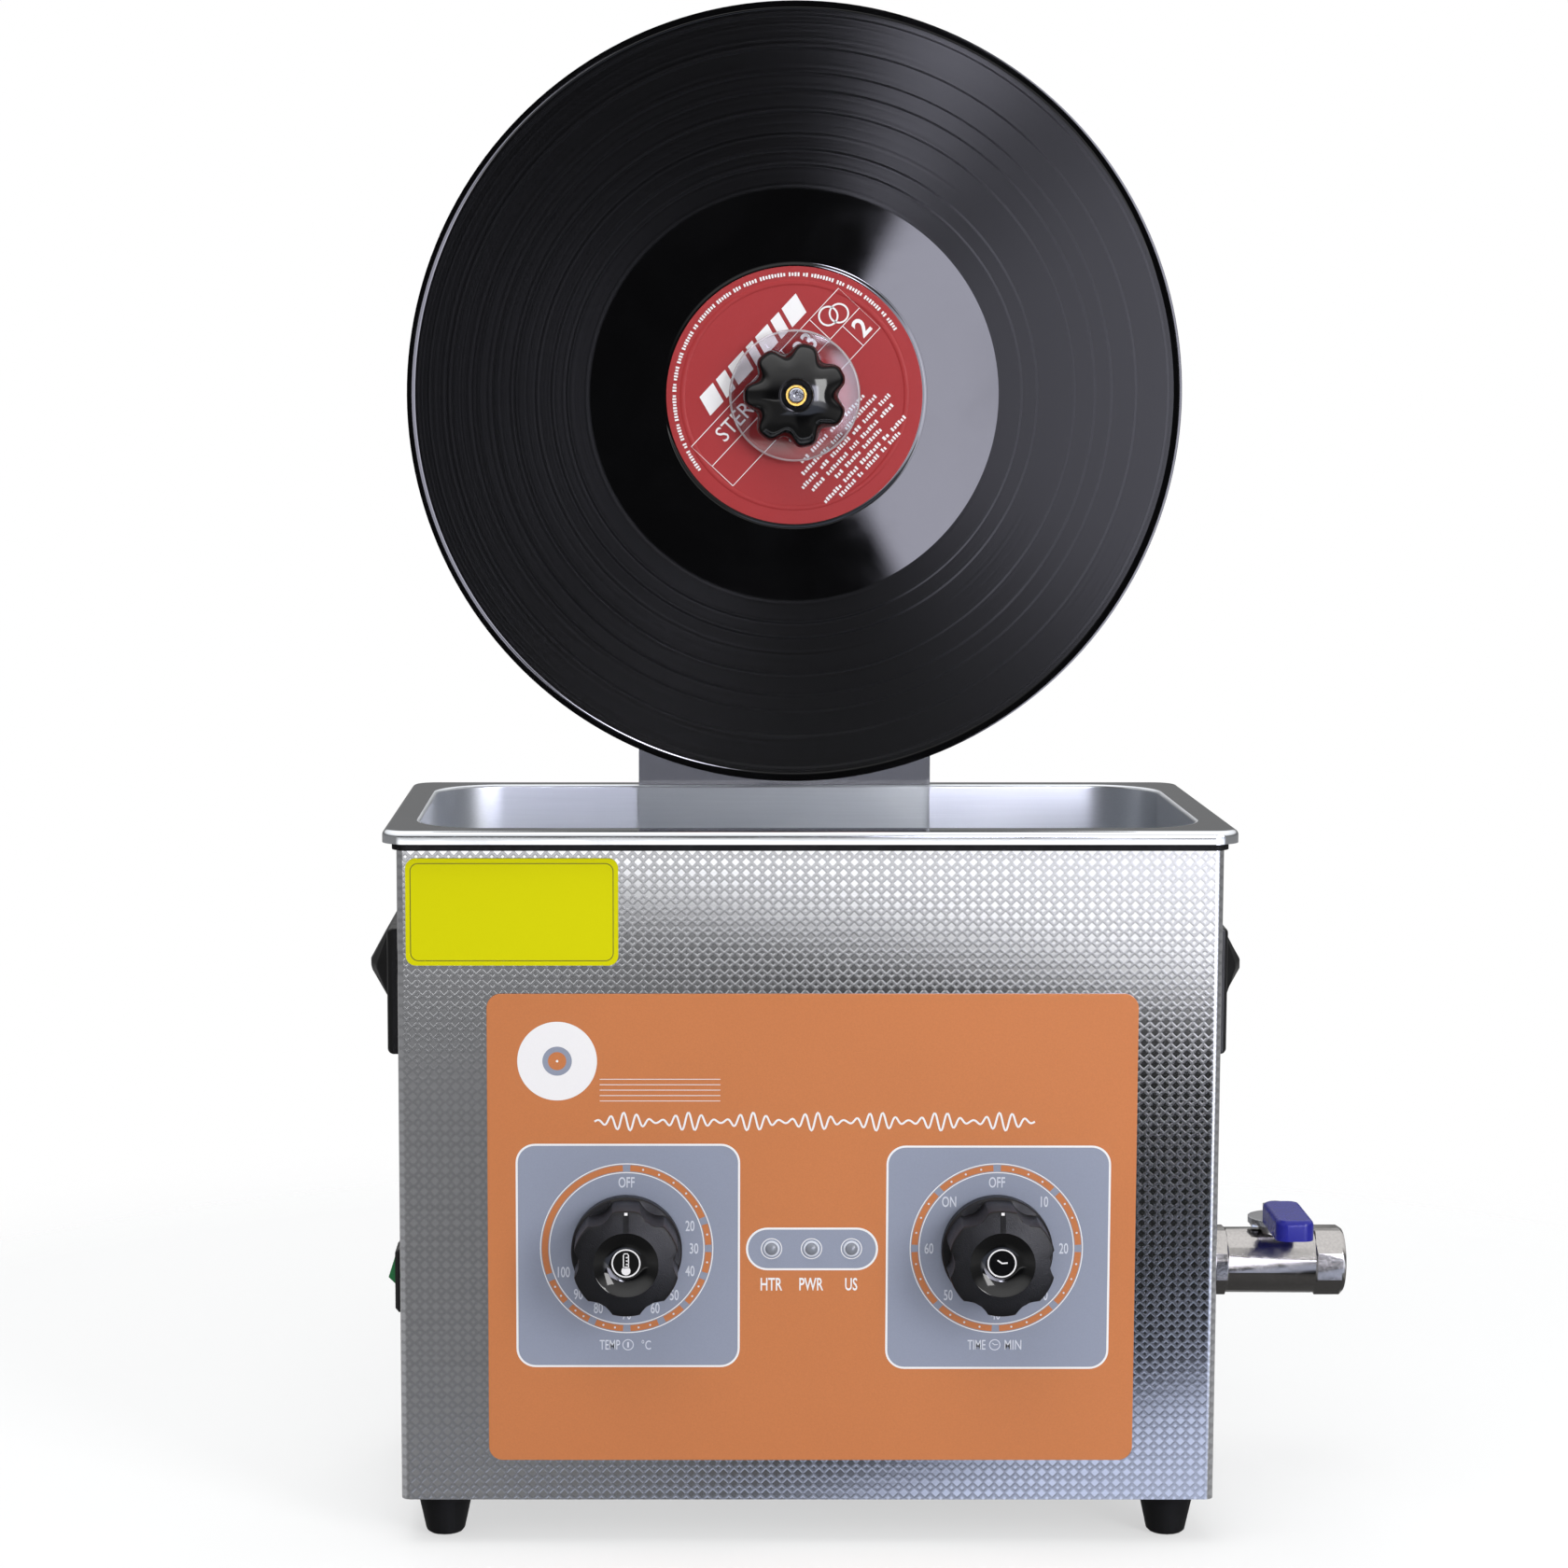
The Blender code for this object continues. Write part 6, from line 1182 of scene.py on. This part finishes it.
# %% Cast the star knob
star_low, star_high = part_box("star_knob")
STAR_HEIGHT = star_high.y - star_low.y
STAR_RADIUS, STAR_VALLEY, LOBES = 20.2 * MM, 16.4 * MM, 7
CROWN = 0.45
RECESS = 6.3 * MM
star_back = Vector((middle("spindle").x, star_high.y, middle("spindle").z))


def star_reach(angle, radius, height):
    """Draws a ring in between the lobes; the crown stays round."""
    wave = (1 + math.cos(LOBES * (angle - math.pi))) / 2
    share = min(1.0, max(0.0, (radius / STAR_RADIUS - CROWN) / (1 - CROWN)))
    depth = (1 - STAR_VALLEY / STAR_RADIUS) * (1 - math.sin(wave * math.pi / 2))
    return radius * (1 - depth * share * share * (3 - 2 * share))


section = [(4.6 * MM, 0), (STAR_RADIUS - 1.5 * MM, 0)]
for step in range(1, 6):
    angle = step / 5 * math.pi / 2
    section.append((STAR_RADIUS - 1.5 * MM * (1 - math.sin(angle)), 1.5 * MM * (1 - math.cos(angle))))
section.append((STAR_RADIUS, 7.0 * MM))
for step in range(1, 21):
    angle = step / 20 * math.pi / 2
    wide = RECESS + 0.5 * MM + (STAR_RADIUS - RECESS - 0.5 * MM) * math.cos(angle)
    climb = 0.72 * math.sin(angle) + 0.28 * (1 - math.cos(angle))
    section.append((wide, 7.0 * MM + (STAR_HEIGHT - 7.0 * MM) * climb))
section += [(RECESS, STAR_HEIGHT - 0.5 * MM), (RECESS - 0.2 * MM, STAR_HEIGHT - 1.2 * MM)]
section += [(RECESS - 0.4 * MM, STAR_HEIGHT - 3.5 * MM), (4.3 * MM, STAR_HEIGHT - 3.5 * MM)]
section += [(4.3 * MM, 0.4 * MM), (4.6 * MM, 0)]
make_piece(
    "polished_star_knob", [turned(section, star_back, -Y, 168, star_reach)], [gloss_black], "clamp_star",
    ["star_knob"],
)
insert_low, insert_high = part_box("star_knob_insert")
insert_back = Vector((star_back.x, insert_high.y, star_back.z))
tall = insert_high.y - insert_low.y
section = [(2.9 * MM, 0), (4.2 * MM, 0), (4.2 * MM, tall - 0.3 * MM), (3.95 * MM, tall)]
section += [(3.2 * MM, tall), (2.9 * MM, tall - 0.3 * MM), (2.9 * MM, 0)]
make_piece("brass_insert", [turned(section, insert_back, -Y, 64)], [brass], "clamp_star", ["star_knob_insert"])
rod_end = Vector((star_back.x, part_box("spindle")[0].y, star_back.z))
section = [(2.8 * MM, 0), (2.8 * MM, 0.3 * MM), (2.4 * MM, 0.6 * MM), (1.0 * MM, 0.6 * MM)]
section += [(0.8 * MM, 0.1 * MM), (0, 0.1 * MM)]
make_piece(
    "rod_end_face", [turned(section, rod_end, -Y, 48)], [bright_steel], "spinner", closed=False
)
print("star knob lobes", LOBES)

# %% [markdown]
# The control panel is a thin film plate with round corners. Its face carries grey fields and
# white prints. They lie in layers, each a little above the last, so no two faces fight for the
# same place.

# %% Lay the control panel
panel_low, panel_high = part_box("front_panel")
panel_back = Vector((middle("front_panel").x, panel_high.y, middle("front_panel").z))
PANEL_THICK = panel_high.y - panel_low.y
panel_form = plate(
    panel_high.x - panel_low.x, panel_high.z - panel_low.z, 5.4 * MM, PANEL_THICK, 0.2 * MM, panel_back, -Y
)
make_piece("control_panel", [panel_form], [orange_paint], "bath", ["front_panel"])
PANEL_FACE = Vector((MIDDLE_X, panel_low.y, 0))

FIELDS = ((-69.3, 114.5, 85.0, 86.6), (72.4, 113.8, 85.0, 86.6))
PILL = (1.2, 117.2, 49.8, 15.9)
LAMPS_X = (-14.3, 1.0, 16.3)
grey_forms, white_forms, orange_forms, faint_forms = [], [], [], []
for x, z, width, height in FIELDS:
    grey_forms.append(moved(area_print(rounded(width * MM, height * MM, 7 * MM)), (x * MM, z * MM)))
    white_forms.append(moved(frame_print(rounded(width * MM, height * MM, 7 * MM), 0.8 * MM), (x * MM, z * MM)))
x, z, width, height = PILL
grey_forms.append(moved(area_print(rounded(width * MM, height * MM, height / 2.02 * MM)), (x * MM, z * MM)))
white_forms.append(moved(frame_print(rounded(width * MM, height * MM, height / 2.02 * MM), 0.8 * MM), (x * MM, z * MM)))
for x in LAMPS_X:
    white_forms.append(moved(ring_print(3.9 * MM, 0.35 * MM, steps=48), (x * MM, 117.3 * MM)))
for word, x in zip(("HTR", "PWR", "US"), LAMPS_X):
    white_forms.append(moved(letters(word, 5.0 * MM, 0.62, 0.014), (x * MM, 103.4 * MM)))
print("panel fields", len(FIELDS), "and", len(LAMPS_X), "lamp rings")

# %% [markdown]
# Each dial has an orange band between two white circles, with a gap at every number and small
# ticks between them. The numbers stand upright, not turned with the dial. Angles run clockwise
# from the top, as on the real scale.

# %% Print the dials
DIAL_Z = 117.4
DIAL_OUTER, DIAL_INNER = 33.0, 29.6
NUMBER_RING = 25.8
KNOBS_X = ((-69.8, "temperature"), (71.8, "timer"))
TEMPERATURES = {
    "OFF": 0, "20": 70, "30": 90, "40": 110, "50": 135, "60": 155, "70": 180, "80": 205, "90": 226, "100": 249,
}
MINUTES = {"OFF": 0, "10": 45, "20": 90, "30": 135, "40": 180, "50": 225, "60": 270, "ON": 315}
for (x, _), marks in zip(KNOBS_X, (TEMPERATURES, MINUTES)):
    centre = (x * MM, DIAL_Z * MM)
    for radius in (DIAL_OUTER, DIAL_INNER):
        white_forms.append(moved(ring_print(radius * MM, 0.4 * MM), centre))
    stops = sorted(marks.values())
    for start, stop in zip(stops, [*stops[1:], 360]):
        first, last = math.radians(90 - stop + 2.6), math.radians(90 - start - 2.6)
        band = ring_print((DIAL_OUTER + DIAL_INNER) / 2 * MM, (DIAL_OUTER - DIAL_INNER - 1.0) * MM, first, last, 40)
        orange_forms.append(moved(band, centre))
        ticks = max(1, round((stop - start) / 14))
        if stop - start > 100:
            ticks = 0
        for tick in range(1, ticks + 1):
            angle = math.radians(90 - start - (stop - start) * tick / (ticks + 1))
            reach = (DIAL_OUTER + DIAL_INNER) / 2 * MM
            spot = (centre[0] + reach * math.cos(angle), centre[1] + reach * math.sin(angle))
            faint_forms.append(moved(ring_print(0.2 * MM, 0.4 * MM, steps=12), spot))
    for word, degrees in marks.items():
        angle = math.radians(90 - degrees)
        spot = (centre[0] + NUMBER_RING * MM * math.cos(angle), centre[1] + NUMBER_RING * MM * math.sin(angle))
        faint_forms.append(moved(letters(word, 4.2 * MM, 0.62, 0.01), spot))
print("dial marks", len(TEMPERATURES) + len(MINUTES))

# %% [markdown]
# Under each dial stands what it sets, with a small round sign between the words. Above them the
# panel carries a record drawn as three rings, with plain waves beside it. Plain shapes fill these
# places, so the print has the weight it needs.

# %% Print the words and the waves
def clock_hands(size):
    """Two hands of a clock as flat lines."""
    return [line_print([(-size * 0.5, size * 0.35), (0, 0), (size * 0.62, size * 0.05)], size * 0.17)]


for word, unit, x, sign in (("TEMP", "°C", -69.3, "bar"), ("TIME", "MIN", 71.6, "clock")):
    z = 79.6 * MM
    faint_forms.append(moved(letters(word, 3.8 * MM, 0.6, 0.004), ((x - 7.0) * MM, z)))
    faint_forms.append(moved(letters(unit, 3.8 * MM, 0.7, 0.004), ((x + 7.0) * MM, z)))
    faint_forms.append(moved(ring_print(2.0 * MM, 0.35 * MM, steps=40), (x * MM, z)))
    parts = clock_hands(1.9 * MM) if sign == "clock" else [line_print([(0, -1.1 * MM), (0, 1.1 * MM)], 0.7 * MM)]
    faint_forms += [moved(part, (x * MM, z)) for part in parts]

DISC_X, DISC_Z = -96.2, 190.2
white_forms.append(moved(ring_print(10.4 * MM, 9.6 * MM), (DISC_X * MM, DISC_Z * MM)))
grey_forms.append(moved(ring_print(4.6 * MM, 2.2 * MM), (DISC_X * MM, DISC_Z * MM)))
white_forms.append(moved(ring_print(0.25 * MM, 0.5 * MM, steps=24), (DISC_X * MM, DISC_Z * MM)))
for row in range(5):
    z = (183.2 - row * 2.1) * MM
    white_forms.append(line_print([(-80 * MM, z), (-34 * MM, z)], 0.25 * MM))
WAVE_START, WAVE_END, WAVE_Z, WAVE_HIGH = -82.0, 86.0, 166.8, 3.6
route = []
for step in range(421):
    share = step / 420
    swell = math.sin(share * math.pi * 7) ** 2 * 0.85 + 0.15
    route.append((
        (WAVE_START + (WAVE_END - WAVE_START) * share) * MM,
        (WAVE_Z + WAVE_HIGH * swell * math.sin(share * math.tau * 34)) * MM,
    ))
white_forms.append(line_print(route, 0.75 * MM))

for name, forms, material, slot, layer in (
    ("panel_grey_fields", grey_forms, grey_print, "orange_paint", 1),
    ("panel_orange_bands", orange_forms, orange_paint, "orange_paint", 2),
    ("panel_white_prints", white_forms, white_print, "orange_paint", 3),
    ("panel_pale_numbers", faint_forms, faint_print, "orange_paint", 4),
):
    make_piece(name, [laid(forms, PANEL_FACE, -Y, PRINT_LIFT * layer)], [material], "bath", closed=False)
print("panel prints laid in 4 layers")

# %% [markdown]
# A dial knob is moulded: a round skirt, a grip with six scoops, a pebbled face, and a polished
# dish with a white sign. Cutting the scoops with cylinders leaves hard facets, so the grip's
# radius dips smoothly at six angles instead, deepest near the face.

# %% Mould the dial knobs
KNOB_RADIUS, GRIP_RADIUS, DISH_RADIUS = 21.2 * MM, 20.3 * MM, 12.0 * MM
SKIRT, SCOOPS, SCOOP_HALF = 5.0 * MM, 6, math.radians(15.5)
SCOOP_DEPTH = 2.6 * MM
CONE_DROP = 1.6 * MM


def scooped(angle, radius, height):
    """Draws the grip in at its six scoops, above the skirt only."""
    if height < SKIRT + 0.2 * MM or radius < DISH_RADIUS * 1.2:
        return radius
    step = math.tau / SCOOPS
    off = abs((angle + step / 2) % step - step / 2)
    dip = max(0.0, 1 - (off / SCOOP_HALF) ** 2)
    return min(radius, GRIP_RADIUS + 0.2 * MM - SCOOP_DEPTH * dip ** 0.8)


def face_drop(radius):
    """How far the sloping face lies behind the rim of the dish."""
    return CONE_DROP * max(0.0, 1 - (GRIP_RADIUS - radius) / (GRIP_RADIUS - DISH_RADIUS - 0.3 * MM))


def on_the_face(form, back):
    """Lets a print follow the sloping face."""
    points = [p + Y * face_drop(math.hypot(p.x - back.x, p.z - back.z)) for p in form[0]]
    return points, form[1]


def mould_knob(node, body, sign):
    """The knob with its polished dish, its pointer and its sign."""
    low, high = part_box(node)
    tall = high.y - low.y
    back = Vector(((low.x + high.x) / 2, high.y, (low.z + high.z) / 2))
    grip = [(KNOB_RADIUS, 0), (KNOB_RADIUS, SKIRT - 0.6 * MM), (KNOB_RADIUS - 0.5 * MM, SKIRT)]
    grip.append((GRIP_RADIUS + 0.1 * MM, SKIRT + 0.3 * MM))
    grip += [(GRIP_RADIUS, SKIRT + (tall - CONE_DROP - SKIRT) * share / 8) for share in range(1, 8)]
    for step in range(5):
        angle = step / 4 * math.pi / 2
        wide = GRIP_RADIUS - 1.0 * MM * (1 - math.cos(angle))
        grip.append((wide, tall - CONE_DROP - 1.0 * MM + 1.0 * MM * math.sin(angle)))
    for share in (0.3, 0.6, 1.0):
        wide = GRIP_RADIUS - share * (GRIP_RADIUS - DISH_RADIUS - 0.3 * MM)
        grip.append((wide, tall - face_drop(wide)))
    dish = [(DISH_RADIUS + 0.3 * MM, tall), (DISH_RADIUS, tall - 0.15 * MM)]
    for step in range(1, 13):
        share = step / 12
        wide = DISH_RADIUS - (DISH_RADIUS - 5.6 * MM) * share
        dish.append((wide, tall - 0.15 * MM - 3.05 * MM * math.sin(share * math.pi / 2)))
    dish += [(5.0 * MM, tall - 3.2 * MM), (0, tall - 3.2 * MM)]
    closing = [(0, 0), (KNOB_RADIUS, 0)]
    forms = [turned(grip, back, -Y, 144, scooped), turned(dish, back, -Y, 144), turned(closing, back, -Y, 144)]
    make_piece(node + "_moulded", forms, [pebbled_plastic, gloss_black, black_plastic], body, [node])
    slot_form = box_print(-1.1 * MM, 1.1 * MM, 12.4 * MM, 20.0 * MM)
    groove = on_the_face(laid([slot_form], back, -Y, tall + 0.04 * MM), back)
    make_piece(node + "_pointer", [groove], [black_rubber], body, closed=False)
    marks = [ring_print(5.2 * MM, 0.55 * MM, steps=64), box_print(-0.6 * MM, 0.6 * MM, 18.8 * MM, 19.8 * MM)]
    dial_sign = clock_hands(3.4 * MM) if sign == "clock" else thermometer()
    top = laid([marks[0], *dial_sign], back, -Y, tall - 3.2 * MM + PRINT_LIFT)
    tip = on_the_face(laid([marks[1]], back, -Y, tall + 0.07 * MM), back)
    make_piece(node + "_sign", [top, tip], [white_print], body, closed=False)


def thermometer():
    """A thermometer drawn with a bulb, a stem and three marks."""
    stem = ((-0.95, -1.8), (-0.95, 3.1), (-0.6, 3.7), (0.6, 3.7), (0.95, 3.1), (0.95, -1.8))
    forms = [frame_print([(x * MM, z * MM) for x, z in stem], 0.4 * MM)]
    forms.append(moved(ring_print(0.85 * MM, 1.7 * MM, steps=32), (0, -2.9 * MM)))
    forms += [box_print(0.0, 0.9 * MM, z * MM, (z + 0.45) * MM) for z in (-0.6, 0.7, 2.0)]
    return forms


mould_knob("temperature_knob", "temperature_control", "thermometer")
mould_knob("timer_knob", "timer_control", "clock")
print("knobs moulded with", SCOOPS, "scoops")

# %% [markdown]
# The three pilot lamps are small domes of unlit grey plastic in a bright ring. They are off in the
# picture, so nothing glows: only the dome's own highlight tells that it is a lens.

# %% Fit the pilot lamps
for node in ("heater_lamp", "power_lamp", "cleaning_lamp"):
    low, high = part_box(node)
    front = Vector(((low.x + high.x) / 2, panel_low.y, (low.z + high.z) / 2))
    rise = panel_low.y - low.y
    flange = [(3.1 * MM, 0), (3.1 * MM, 0.35 * MM), (2.9 * MM, 0.6 * MM), (2.4 * MM, 0.6 * MM), (2.3 * MM, 0.3 * MM)]
    lens = [(2.35 * MM, 0.3 * MM)]
    for step in range(7):
        angle = step / 6 * math.pi / 2
        lens.append((2.35 * MM * math.cos(angle), 0.7 * MM + (rise - 0.7 * MM) * math.sin(angle)))
    lens[-1] = (0, rise)
    barrel = [(2.2 * MM, 0), (2.2 * MM, -(high.y - panel_low.y)), (0, -(high.y - panel_low.y))]
    forms = [turned(flange, front, -Y, 48), turned(lens, front, -Y, 48), turned(barrel, front, -Y, 24)]
    make_piece(node + "_lens", forms, [faint_print, grey_lens, black_plastic], "bath", [node])
print("pilot lamps fitted")

# %% [markdown]
# The small plate at the upper left is bare yellow film with a thin dark line set in from its
# edge. It is a plate of its own, thinner than the panel, with rounder corners.

# %% Stick on the small plate
low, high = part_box("notice_plate")
plate_back = Vector(((low.x + high.x) / 2, high.y, (low.z + high.z) / 2))
width, height, thick = high.x - low.x, high.z - low.z, high.y - low.y
make_piece(
    "yellow_plate", [plate(width, height, 3.8 * MM, thick, 0.12 * MM, plate_back, -Y)], [yellow_film], "bath",
    ["notice_plate"],
)
BORDER_INSET = 1.9 * MM
border = frame_print(rounded(width - 2 * BORDER_INSET, height - 2 * BORDER_INSET, 3.0 * MM), 0.3 * MM)
make_piece(
    "yellow_plate_line", [laid([border], plate_back, -Y, thick + PRINT_LIFT)], [dark_print], "bath",
    closed=False,
)
print("small plate", round(width, 4), "by", round(height, 4))
